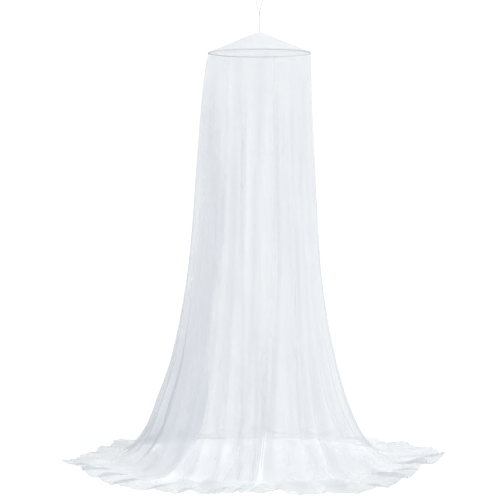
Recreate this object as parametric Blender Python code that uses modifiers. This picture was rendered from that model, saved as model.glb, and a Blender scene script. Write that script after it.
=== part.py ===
"""Mosquito net canopy on its hoop: a sheer net that hangs from a ceiling hook and spreads over the floor.

Metres, +Z up. The origin is the inside of the top of the hanging loop, where the hook bears.
The front is -Y. Angles are in degrees from the front, positive towards +X.
"""

import math
from collections import namedtuple

import bmesh
import bpy
import numpy as np
from mathutils import Vector

# Heights above the floor
HANG_HEIGHT = 2.745
KNOT_TOP_HEIGHT = 2.647
KNOT_BOTTOM_HEIGHT = 2.616
APEX_HEIGHT = 2.527
HOOP_HEIGHT = 2.400
MID_HEIGHT = 1.18
FLOOR_Z = -HANG_HEIGHT

# Hoop and its tape
HOOP_DIAMETER = 0.600
HOOP_ROD_DIAMETER = 0.005
TAPE_THICKNESS = 0.001
TAPE_MOUTH = math.radians(50)
TAPE_SIDES = 8
RING_STEPS = 48

# Cloth
SKIRT_THICKNESS = 0.002
CROWN_THICKNESS = 0.0015
SEAT_GAP = 0.0003
SEAM_GAP = 0.0004
CROWN_TIP = ((0.008, 0.0015), (0.022, 0.0075))  # radius and drop of the rounded tip
CROWN_SHARES = (0.3, 0.65, 1.0)  # of the way down its straight side
RIM_SHARES = (0.62, 0.28, 0.06)  # of the way round the tape, from its level to the straight side
FOLD_SHARPNESS = 1.3
FOLD_STEPS = (0.0, 0.12, 0.35, 0.65, 0.88)

# Way in, at the front: a lap of the skirt's two upright edges
LAP_WIDTH = 0.020
LAP_CLEARANCE = 0.0012

# Cord
CORD_DIAMETER = 0.003
WHIPPING_DIAMETER = 0.0085
WHIPPING_TURNS = 6
WHIPPING_END = 0.72  # its radius at both ends and between its turns, as shares of the full one
WHIPPING_GROOVE = 0.84
WHIPPING_STEPS = 12
LOOP_STRAND_OFFSET = 0.0018  # of each strand's middle from the axis, at the whipping
CORD_POINT_SPACING = 0.0075
CURVE_STEPS = 20

HOOP_RADIUS = (HOOP_DIAMETER - HOOP_ROD_DIAMETER) / 2
TAPE_INNER = HOOP_ROD_DIAMETER / 2 + SEAT_GAP
TAPE_OUTER = TAPE_INNER + TAPE_THICKNESS

# Sections of the hanging wall, from the hoop to the floor. The four reaches are from the axis to
# the crests of the folds. fold_mid and fold_foot are the shares of each fold's two depths there,
# and parting is how far the way in's two edges stand apart, or less than 0 where they lap.
Section = namedtuple("Section", "height left right front back fold_mid fold_foot parting")
SECTIONS = (
    Section(2.3992, 0.3018, 0.3018, 0.3018, 0.3018, 0.00, 0.00, -LAP_WIDTH),
    Section(2.392, 0.3024, 0.3018, 0.3020, 0.3020, 0.00, 0.00, -LAP_WIDTH),
    Section(2.345, 0.314, 0.303, 0.308, 0.308, 0.10, 0.00, -LAP_WIDTH),
    Section(2.120, 0.340, 0.307, 0.320, 0.318, 0.36, 0.00, -LAP_WIDTH),
    Section(1.840, 0.361, 0.320, 0.337, 0.333, 0.62, 0.05, -LAP_WIDTH),
    Section(1.520, 0.386, 0.338, 0.359, 0.353, 0.86, 0.12, -LAP_WIDTH),
    Section(1.180, 0.417, 0.361, 0.388, 0.380, 1.00, 0.22, -LAP_WIDTH),
    Section(0.860, 0.466, 0.400, 0.430, 0.416, 0.85, 0.42, -LAP_WIDTH),
    Section(0.590, 0.526, 0.455, 0.486, 0.462, 0.60, 0.66, -LAP_WIDTH),
    Section(0.370, 0.604, 0.515, 0.550, 0.510, 0.30, 0.88, -LAP_WIDTH),
    Section(0.210, 0.664, 0.578, 0.606, 0.552, 0.10, 1.00, -0.014),
    Section(0.100, 0.735, 0.645, 0.658, 0.590, 0.00, 1.00, 0.006),
    Section(0.035, 0.810, 0.715, 0.706, 0.625, 0.00, 0.90, 0.016),
    Section(0.000, 0.880, 0.780, 0.750, 0.660, 0.00, 0.75, 0.018),
)

# Bands of the cloth that lies on the floor. out is the share of the way from the wall's foot to
# the hem, ridge the share of each fold's ridge height, and parting as above.
Band = namedtuple("Band", "out ridge parting")
BANDS = (
    Band(0.22, 0.35, 0.015),
    Band(0.46, 0.60, 0.010),
    Band(0.70, 0.80, 0.008),
    Band(0.88, 0.95, 0.010),
    Band(1.00, 1.00, 0.014),
)

# Folds round the net, from the way in round by the right, back and left to the way in again.
# The angles are those of the fold's valley at the hoop, at mid height, at the floor and at the
# hem, mid and foot its depths, and reach and ridge the hem's reach from the axis and the height
# of the ridge on the floor, both halfway to the next fold.
Fold = namedtuple("Fold", "hoop_deg mid_deg foot_deg hem_deg mid foot reach ridge")
FOLDS = (
    Fold(16, 14.5, 2.5, -2, 0.022, 0.060, 1.20, 0.024),
    Fold(26, 25, 14, 11, 0.008, 0.020, 1.24, 0.018),
    Fold(35, 36, 25, 23, 0.020, 0.040, 1.35, 0.028),
    Fold(46, 45, 39, 38, 0.014, 0.058, 1.15, 0.034),
    Fold(56, 55, 53, 54, 0.010, 0.030, 1.05, 0.024),
    Fold(67, 66, 65, 66, 0.016, 0.046, 1.01, 0.036),
    Fold(83, 81, 78, 77, 0.010, 0.034, 1.10, 0.024),
    Fold(96, 95, 93, 92, 0.018, 0.052, 1.07, 0.020),
    Fold(113, 112, 109, 111, 0.010, 0.032, 0.98, 0.020),
    Fold(125, 125, 124, 123, 0.018, 0.050, 0.90, 0.018),
    Fold(143, 141, 142, 143, 0.010, 0.034, 0.96, 0.034),
    Fold(155, 155, 155, 157, 0.022, 0.050, 0.91, 0.022),
    Fold(172, 171, 173, 172, 0.012, 0.036, 0.95, 0.038),
    Fold(185, 184, 185, 187, 0.018, 0.052, 0.90, 0.024),
    Fold(202, 201, 202, 202, 0.012, 0.034, 0.94, 0.040),
    Fold(214, 214, 215, 217, 0.020, 0.050, 0.93, 0.030),
    Fold(231, 230, 231, 232, 0.014, 0.038, 1.05, 0.064),
    Fold(243, 243, 246, 248, 0.020, 0.054, 1.04, 0.056),
    Fold(257, 256, 258, 260, 0.016, 0.040, 1.08, 0.036),
    Fold(267, 268, 270, 274, 0.022, 0.050, 1.23, 0.030),
    Fold(281, 280, 281, 284, 0.024, 0.042, 1.10, 0.030),
    Fold(292, 292, 291, 292, 0.026, 0.056, 1.16, 0.034),
    Fold(304, 303, 302, 304, 0.032, 0.072, 1.19, 0.030),
    Fold(314, 314, 313, 315, 0.022, 0.036, 1.30, 0.026),
    Fold(325, 325, 325, 327, 0.032, 0.050, 1.25, 0.020),
    Fold(334, 334, 337, 336, 0.010, 0.030, 1.30, 0.026),
    Fold(343, 343, 349, 346, 0.022, 0.050, 1.19, 0.020),
    Fold(354, 355, 356, 352, 0.012, 0.014, 1.14, 0.016),
)
HEM_NOTCH = 0.025
NOTCH_PER_RIDGE = 1.1
FLOOR_SHARE = 0.15

# Middle line of the hanging loop, from the whipping up and over the hook and back, as offsets in
# X from the axis and heights above the floor.
LOOP_ROUTE = (
    (-LOOP_STRAND_OFFSET, KNOT_TOP_HEIGHT + SEAT_GAP),
    (-0.0045, 2.657),
    (-0.0125, 2.670),
    (-0.0165, 2.688),
    (-0.0150, 2.708),
    (-0.0105, 2.728),
    (-0.0060, 2.741),
    (0.0, HANG_HEIGHT + CORD_DIAMETER / 2),
    (0.0090, 2.742),
    (0.0175, 2.728),
    (0.0195, 2.708),
    (0.0130, 2.684),
    (0.0060, 2.664),
    (LOOP_STRAND_OFFSET, KNOT_TOP_HEIGHT + SEAT_GAP),
)

# Colour, roughness and metallic of each piece
FINISHES = {
    "net_skirt": ((0.86, 0.88, 0.91), 0.85, 0.0),
    "net_crown": ((0.88, 0.90, 0.93), 0.85, 0.0),
    "hoop_tape": ((0.80, 0.82, 0.85), 0.80, 0.0),
    "hoop": ((0.90, 0.90, 0.90), 0.45, 0.0),
    "hanging_cord": ((0.88, 0.88, 0.88), 0.75, 0.0),
    "cord_whipping": ((0.84, 0.84, 0.85), 0.75, 0.0),
    "hanging_loop": ((0.88, 0.88, 0.88), 0.75, 0.0),
}


def clear_scene():
    """Remove every object that the file holds."""
    for old in list(bpy.data.objects):
        bpy.data.objects.remove(old, do_unlink=True)


def add_collection(name):
    """Make a collection in the scene and return it."""
    made = bpy.data.collections.new(name)
    bpy.context.scene.collection.children.link(made)
    return made


def finish_piece(piece, collection):
    """Put a piece in the collection with its own material, meshes shaded smooth."""
    colour, roughness, metallic = FINISHES[piece.name]
    material = bpy.data.materials.new(piece.name)
    material.use_nodes = True
    shader = material.node_tree.nodes["Principled BSDF"]
    shader.inputs["Base Color"].default_value = (*colour, 1.0)
    shader.inputs["Roughness"].default_value = roughness
    shader.inputs["Metallic"].default_value = metallic
    piece.data.materials.append(material)
    if piece.type == "MESH":
        piece.data.shade_smooth()
    collection.objects.link(piece)


def height_z(height):
    """The Z of a height above the floor."""
    return height + FLOOR_Z


def wall_reach(section, angle):
    """Reach of the wall's crests at an angle, blended from the section's four reaches."""
    side = math.sin(angle)
    front = math.cos(angle)
    reach_x = section.right if side > 0 else section.left
    reach_y = section.front if front > 0 else section.back
    return reach_x * side**2 + reach_y * front**2


def valley(step):
    """Share of a fold's depth at a step of the way to the next fold: 1 in each valley."""
    return ((1 + math.cos(2 * math.pi * step)) / 2) ** FOLD_SHARPNESS


def ridge(step):
    """Share of a ridge's height on the floor: flat in each valley, round between them."""
    return max(0.0, (math.sin(math.pi * step) ** 2 - FLOOR_SHARE) / (1 - FLOOR_SHARE))


def fold_pair(index):
    """The folds at the two ends of a stretch of cloth, the last one the way in again."""
    return FOLDS[index], FOLDS[(index + 1) % len(FOLDS)]


def valley_angle(fold, level):
    """Angle of a fold's valley in degrees. level is a Section, or a Band on the floor."""
    if isinstance(level, Band):
        return fold.foot_deg + (fold.hem_deg - fold.foot_deg) * level.out
    if level.height < MID_HEIGHT:
        share = level.height / MID_HEIGHT
        return fold.foot_deg + (fold.mid_deg - fold.foot_deg) * share
    share = (level.height - MID_HEIGHT) / (HOOP_HEIGHT - MID_HEIGHT)
    return fold.mid_deg + (fold.hoop_deg - fold.mid_deg) * share


def lap_angle(level):
    """Angle in radians from the way in's middle to where each edge's flat strip begins."""
    reach = FOLDS[0].reach if isinstance(level, Band) else level.front
    return (level.parting / 2 + LAP_WIDTH) / reach


def cloth_angle(level, index, step):
    """Angle in radians at a step of the way from one fold's valley to the next."""
    near, far = fold_pair(index)
    start = math.radians(valley_angle(near, level))
    end = math.radians(valley_angle(far, level))
    if index == 0:
        start += lap_angle(level)
    if index == len(FOLDS) - 1:
        end += 2 * math.pi - lap_angle(level)
    return start + (end - start) * step


def wall_radius(section, index, step, angle):
    """Distance from the axis on the wall, folds taken in."""
    near, far = fold_pair(index)
    mid = near.mid + (far.mid - near.mid) * step
    foot = near.foot + (far.foot - near.foot) * step
    depth = max(mid * section.fold_mid, foot * section.fold_foot)
    return wall_reach(section, angle) - depth * valley(step)


def hem_radius(index, step):
    """Distance from the axis to the hem: full halfway between two folds, notched at each."""
    near, far = fold_pair(index)
    beside = FOLDS[index - 1] if step < 0.5 else far
    reach = near.reach + (beside.reach - near.reach) * abs(step - 0.5)
    return reach - (HEM_NOTCH + NOTCH_PER_RIDGE * near.ridge) * valley(step)


def skirt_place(level, index, step, lap):
    """Angle, radius and height on the skirt's inner face. lap is 1 on the outer lapping edge."""
    angle = cloth_angle(level, index, step)
    if isinstance(level, Band):
        foot = wall_radius(SECTIONS[-1], index, step, angle)
        radius = foot + (hem_radius(index, step) - foot) * level.out
        return angle, radius, FOLDS[index].ridge * ridge(step) * level.ridge
    radius = wall_radius(level, index, step, angle)
    if level.parting < 0:
        radius += lap * (SKIRT_THICKNESS + LAP_CLEARANCE)
    return angle, radius, level.height


def place(angle, radius, height):
    """World point at an angle from the front, a distance from the axis and a height."""
    return Vector((radius * math.sin(angle), -radius * math.cos(angle), height_z(height)))


def skirt_columns():
    """Each column of the skirt: its fold's index, its step to the next, lap and edge strip."""
    last = len(FOLDS) - 1
    columns = [(0, 0.0, 1.0, -1)]
    for index in range(len(FOLDS)):
        for step in FOLD_STEPS:
            columns.append((index, step, 1.0 - step if index == 0 else 0.0, 0))
    columns.append((last, 1.0, 0.0, 0))
    columns.append((last, 1.0, 0.0, 1))
    return columns


def make_skirt():
    """The hanging net and the part of it that lies on the floor, one sheet."""
    columns = skirt_columns()
    levels = (*SECTIONS, *BANDS)
    sheet = bmesh.new()
    bmesh.ops.create_grid(
        sheet, x_segments=len(columns) - 1, y_segments=len(levels) - 1, size=0.5
    )
    sheet.verts.ensure_lookup_table()
    for number, vert in enumerate(sheet.verts):
        row, column = divmod(number, len(columns))
        index, step, lap, strip = columns[column]
        angle, radius, height = skirt_place(levels[row], index, step, lap)
        angle += strip * LAP_WIDTH / radius
        vert.co = place(angle, radius, height)
    bmesh.ops.reverse_faces(sheet, faces=sheet.faces)
    mesh = bpy.data.meshes.new("net_skirt")
    sheet.to_mesh(mesh)
    sheet.free()
    skirt = bpy.data.objects.new("net_skirt", mesh)
    wall = skirt.modifiers.new("thickness", "SOLIDIFY")
    wall.thickness = SKIRT_THICKNESS
    wall.offset = 1.0
    return skirt


def turned_piece(name, profile, steps, closed=False):
    """A profile in the XZ plane, given as radius and height above the floor, turned round Z."""
    outline = bmesh.new()
    verts = [outline.verts.new((radius, 0.0, height_z(height))) for radius, height in profile]
    for first, second in zip(verts, verts[1:]):
        outline.edges.new((first, second))
    if closed:
        outline.edges.new((verts[-1], verts[0]))
    mesh = bpy.data.meshes.new(name)
    outline.to_mesh(mesh)
    outline.free()
    piece = bpy.data.objects.new(name, mesh)
    turn = piece.modifiers.new("turn", "SCREW")
    turn.axis = "Z"
    turn.steps = steps
    turn.render_steps = steps
    turn.use_merge_vertices = True
    turn.merge_threshold = 0.00005
    turn.use_smooth_shade = True
    return piece


def round_hoop(distance, angle):
    """Radius and height of a point at a distance and angle from the middle of the rod."""
    return HOOP_RADIUS + distance * math.cos(angle), HOOP_HEIGHT + distance * math.sin(angle)


def crown_profile():
    """Inner face of the crown, from its apex down over the hoop tape to its rim."""
    around = TAPE_OUTER + SEAM_GAP
    top = APEX_HEIGHT - CROWN_THICKNESS
    points = [(0.0, top)]
    for radius, drop in CROWN_TIP:
        points.append((radius, top - drop))
    slope = math.atan2(top - HOOP_HEIGHT - around, HOOP_RADIUS)
    tangent = math.pi / 2 - slope
    end = round_hoop(around, tangent)
    start = points[-1]
    for share in CROWN_SHARES:
        radius = start[0] + (end[0] - start[0]) * share
        points.append((radius, start[1] + (end[1] - start[1]) * share))
    for share in RIM_SHARES:
        points.append(round_hoop(around, share * tangent))
    return points


def make_crown():
    """The cone of net between the cord and the hoop."""
    crown = turned_piece("net_crown", crown_profile(), RING_STEPS)
    wall = crown.modifiers.new("thickness", "SOLIDIFY")
    wall.thickness = CROWN_THICKNESS
    wall.offset = 1.0
    return crown


def make_tape():
    """The tape sewn round the hoop, its mouth towards the axis."""
    first = math.pi - TAPE_MOUTH / 2
    last = -first
    points = []
    for distance, begin, finish in ((TAPE_OUTER, first, last), (TAPE_INNER, last, first)):
        for side in range(TAPE_SIDES + 1):
            angle = begin + (finish - begin) * side / TAPE_SIDES
            points.append(round_hoop(distance, angle))
    return turned_piece("hoop_tape", points, RING_STEPS, closed=True)


def make_hoop():
    """The round rod."""
    bpy.ops.mesh.primitive_torus_add(
        major_segments=RING_STEPS,
        minor_segments=TAPE_SIDES,
        major_radius=HOOP_RADIUS,
        minor_radius=HOOP_ROD_DIAMETER / 2,
        location=(0.0, 0.0, height_z(HOOP_HEIGHT)),
    )
    hoop = bpy.context.object
    hoop.name = "hoop"
    for holder in list(hoop.users_collection):
        holder.objects.unlink(hoop)
    return hoop


def smooth_line(points, spacing):
    """Points at an even spacing along a smooth curve through the given ones."""
    knots = [Vector(point) for point in points]
    knots = [2 * knots[0] - knots[1], *knots, 2 * knots[-1] - knots[-2]]
    fine = []
    for before, start, end, after in zip(knots, knots[1:], knots[2:], knots[3:]):
        for step in range(CURVE_STEPS):
            t = step / CURVE_STEPS
            fine.append(
                0.5
                * (
                    2 * start
                    + (end - before) * t
                    + (2 * before - 5 * start + 4 * end - after) * t**2
                    + (3 * start - before - 3 * end + after) * t**3
                )
            )
    fine.append(knots[-2])
    runs = [0.0]
    for first, second in zip(fine, fine[1:]):
        runs.append(runs[-1] + (second - first).length)
    count = max(2, round(runs[-1] / spacing) + 1)
    wanted = np.linspace(0.0, runs[-1], count)
    axes = [np.interp(wanted, runs, [point[axis] for point in fine]) for axis in range(3)]
    return list(zip(*axes))


def make_tube(name, points):
    """A cord as a round tube with filled ends."""
    curve = bpy.data.curves.new(name, "CURVE")
    curve.dimensions = "3D"
    curve.bevel_depth = CORD_DIAMETER / 2
    curve.bevel_resolution = 2
    curve.use_fill_caps = True
    spline = curve.splines.new("POLY")
    spline.points.add(len(points) - 1)
    for target, point in zip(spline.points, points):
        target.co = (*point, 1.0)
    return bpy.data.objects.new(name, curve)


def make_cord():
    """The straight cord from the crown's apex to the whipping."""
    low = (0.0, 0.0, height_z(APEX_HEIGHT + SEAT_GAP))
    high = (0.0, 0.0, height_z(KNOT_BOTTOM_HEIGHT - SEAT_GAP))
    return make_tube("hanging_cord", smooth_line((low, high), CORD_POINT_SPACING))


def make_loop():
    """The loop that goes over the ceiling hook."""
    route = [(offset, 0.0, height_z(height)) for offset, height in LOOP_ROUTE]
    return make_tube("hanging_loop", smooth_line(route, CORD_POINT_SPACING))


def make_whipping():
    """The wound stretch between the cord and the loop, a turned form with its round turns."""
    radius = WHIPPING_DIAMETER / 2
    turn_height = (KNOT_TOP_HEIGHT - KNOT_BOTTOM_HEIGHT) / WHIPPING_TURNS
    points = [(0.0, KNOT_TOP_HEIGHT), (radius * WHIPPING_END, KNOT_TOP_HEIGHT)]
    for turn in range(WHIPPING_TURNS):
        top = KNOT_TOP_HEIGHT - turn * turn_height
        points.append((radius, top - turn_height / 3))
        points.append((radius, top - turn_height * 2 / 3))
        points.append((radius * WHIPPING_GROOVE, top - turn_height))
    points[-1] = (radius * WHIPPING_END, KNOT_BOTTOM_HEIGHT)
    points.append((0.0, KNOT_BOTTOM_HEIGHT))
    return turned_piece("cord_whipping", points, WHIPPING_STEPS)


def main():
    clear_scene()
    collection = add_collection("mosquito net canopy and hoop")
    makers = (
        make_hoop,
        make_tape,
        make_crown,
        make_skirt,
        make_cord,
        make_whipping,
        make_loop,
    )
    for maker in makers:
        finish_piece(maker(), collection)


main()
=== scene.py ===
"""Dresses the mosquito net canopy: its netting, hoop, tape, cord and whipping, on a plain pale floor."""

import math
from collections import namedtuple

import bmesh
import bpy
import numpy as np
from bpy.props import FloatProperty, FloatVectorProperty, IntProperty, PointerProperty
from mathutils import Matrix, Vector, noise


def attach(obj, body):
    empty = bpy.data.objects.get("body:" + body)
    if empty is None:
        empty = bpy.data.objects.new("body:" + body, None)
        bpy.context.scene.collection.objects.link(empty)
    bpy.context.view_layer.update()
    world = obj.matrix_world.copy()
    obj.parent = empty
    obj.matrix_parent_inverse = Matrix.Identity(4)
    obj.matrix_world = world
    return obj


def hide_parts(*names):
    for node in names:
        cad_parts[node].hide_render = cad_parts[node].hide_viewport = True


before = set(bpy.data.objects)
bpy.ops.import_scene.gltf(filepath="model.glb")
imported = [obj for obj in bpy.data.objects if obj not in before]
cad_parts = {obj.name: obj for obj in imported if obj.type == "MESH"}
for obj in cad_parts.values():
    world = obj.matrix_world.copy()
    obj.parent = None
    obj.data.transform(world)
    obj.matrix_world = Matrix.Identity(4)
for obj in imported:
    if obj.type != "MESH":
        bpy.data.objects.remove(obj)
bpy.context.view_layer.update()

bl_info = {
    "name": "Mosquito net canopy",
    "version": (1, 0, 0),
    "blender": (4, 5, 0),
    "location": "3D View > Sidebar > Net",
    "description": "Makes the netting, hoop, tape, cord and stage of a round net canopy",
    "category": "Object",
}

# Metres, +Z up, the origin inside the top of the hanging loop, the front at -Y. Angles are in
# degrees from the front, positive towards +X, and heights are above the floor.
HANG_HEIGHT = 2.745
KNOT_TOP_HEIGHT = 2.647
KNOT_BOTTOM_HEIGHT = 2.616
APEX_HEIGHT = 2.527
HOOP_HEIGHT = 2.400
MID_HEIGHT = 1.18
HOOP_RADIUS = 0.2975
TAPE_OUTER = 0.0038
TAPE_INNER = 0.0028
SEAT_GAP = 0.0003
SEAM_GAP = 0.0004
CROWN_HALF_CLOTH = 0.00075
MILLIMETRE = 0.001

# The wall's sections and the floor's bands, as the solids have them
Section = namedtuple("Section", "height left right front back fold_mid fold_foot parting")
SECTIONS = (
    Section(2.3992, 0.3018, 0.3018, 0.3018, 0.3018, 0.00, 0.00, -0.012),
    Section(2.392, 0.3024, 0.3018, 0.3020, 0.3020, 0.00, 0.00, -0.012),
    Section(2.345, 0.314, 0.303, 0.308, 0.308, 0.10, 0.00, -0.012),
    Section(2.120, 0.340, 0.307, 0.320, 0.318, 0.36, 0.00, -0.012),
    Section(1.840, 0.361, 0.320, 0.337, 0.333, 0.62, 0.05, -0.012),
    Section(1.520, 0.386, 0.338, 0.359, 0.353, 0.86, 0.12, -0.012),
    Section(1.180, 0.417, 0.361, 0.388, 0.380, 1.00, 0.22, -0.012),
    Section(0.860, 0.466, 0.400, 0.430, 0.416, 0.85, 0.42, -0.012),
    Section(0.590, 0.526, 0.455, 0.486, 0.462, 0.60, 0.66, -0.012),
    Section(0.370, 0.604, 0.515, 0.550, 0.510, 0.30, 0.88, -0.012),
    Section(0.210, 0.664, 0.578, 0.606, 0.552, 0.10, 1.00, -0.008),
    Section(0.100, 0.735, 0.645, 0.658, 0.590, 0.00, 1.00, -0.004),
    Section(0.035, 0.810, 0.715, 0.706, 0.625, 0.00, 0.90, 0.006),
    Section(0.000, 0.880, 0.780, 0.750, 0.660, 0.00, 0.75, 0.008),
)
Band = namedtuple("Band", "out ridge parting")
BANDS = (
    Band(0.00, 0.00, 0.008),
    Band(0.22, 0.35, 0.006),
    Band(0.46, 0.60, 0.004),
    Band(0.70, 0.80, 0.004),
    Band(0.88, 0.95, 0.006),
    Band(1.00, 1.00, 0.010),
)

# Folds round the net from the way in, by the right, back and left. The columns up to ridge are
# the solids' own. pleats is the number of small pleats on the way to the next fold, hoop_pleat,
# mid_pleat and foot_pleat are their depths in millimetres, and ruffles is how many the hem has there.
Fold = namedtuple(
    "Fold",
    "hoop_deg mid_deg foot_deg hem_deg mid foot reach ridge"
    " pleats hoop_pleat mid_pleat foot_pleat ruffles",
)
FOLDS = (
    Fold(16, 14.5, 0.0, -4.5, 0.022, 0.060, 1.20, 0.024, 2, 1, 1.5, 2, 4),
    Fold(26, 25, 14, 11, 0.008, 0.020, 1.24, 0.018, 2, 1, 2, 2, 4),
    Fold(35, 36, 25, 23, 0.015, 0.040, 1.35, 0.028, 2, 1, 2, 2.5, 5),
    Fold(46, 45, 39, 38, 0.014, 0.058, 1.15, 0.034, 2, 1.5, 2, 2.5, 5),
    Fold(56, 55, 53, 54, 0.010, 0.022, 1.05, 0.024, 2, 1.5, 2.5, 2.5, 5),
    Fold(67, 66, 65, 66, 0.008, 0.022, 1.01, 0.036, 2, 1.5, 2.5, 3, 5),
    Fold(83, 81, 78, 77, 0.006, 0.016, 1.10, 0.024, 3, 1.5, 2.5, 3, 5),
    Fold(96, 95, 93, 92, 0.008, 0.022, 1.07, 0.020, 3, 1.5, 3, 5, 6),
    Fold(113, 112, 109, 111, 0.010, 0.032, 0.98, 0.020, 3, 1.5, 3, 4.5, 5),
    Fold(125, 125, 124, 123, 0.018, 0.050, 0.90, 0.018, 3, 1.5, 3, 5, 6),
    Fold(143, 141, 142, 143, 0.010, 0.034, 0.96, 0.034, 3, 1.5, 3, 4.5, 5),
    Fold(155, 155, 155, 157, 0.022, 0.050, 0.91, 0.022, 3, 1.5, 3, 5, 5),
    Fold(172, 171, 173, 172, 0.012, 0.036, 0.95, 0.038, 3, 1.5, 3, 4.5, 5),
    Fold(185, 184, 185, 187, 0.018, 0.052, 0.90, 0.024, 3, 1.5, 3, 5, 5),
    Fold(202, 201, 202, 202, 0.012, 0.034, 0.94, 0.040, 3, 1.5, 3, 4.5, 5),
    Fold(214, 214, 215, 217, 0.020, 0.050, 0.93, 0.030, 3, 2, 3, 5, 5),
    Fold(231, 230, 231, 232, 0.010, 0.030, 0.99, 0.022, 3, 1.5, 3, 5.5, 5),
    Fold(243, 243, 246, 248, 0.008, 0.040, 0.99, 0.018, 3, 1.5, 3, 5.5, 5),
    Fold(257, 256, 258, 260, 0.006, 0.026, 1.03, 0.014, 3, 0.8, 1.2, 5, 5),
    Fold(267, 268, 270, 274, 0.007, 0.032, 1.18, 0.016, 3, 0.8, 1.2, 5, 5),
    Fold(281, 280, 281, 284, 0.007, 0.026, 1.10, 0.018, 3, 0.8, 1.2, 3, 5),
    Fold(292, 292, 291, 292, 0.009, 0.050, 1.16, 0.024, 3, 0.8, 1.2, 3, 5),
    Fold(304, 303, 302, 304, 0.008, 0.034, 1.19, 0.024, 3, 0.8, 1.2, 2.5, 5),
    Fold(314, 314, 313, 315, 0.008, 0.026, 1.30, 0.024, 3, 0.8, 1.2, 2.5, 5),
    Fold(325, 325, 325, 327, 0.032, 0.050, 1.25, 0.020, 2, 1.5, 3, 2.5, 5),
    Fold(334, 334, 337, 336, 0.010, 0.030, 1.30, 0.026, 2, 1, 2, 2.5, 5),
    Fold(343, 343, 349, 346, 0.022, 0.050, 1.19, 0.020, 2, 1, 2, 2.5, 4),
    Fold(354, 355, 356, 352, 0.012, 0.014, 1.14, 0.016, 2, 1, 1.5, 2, 3),
)

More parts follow.
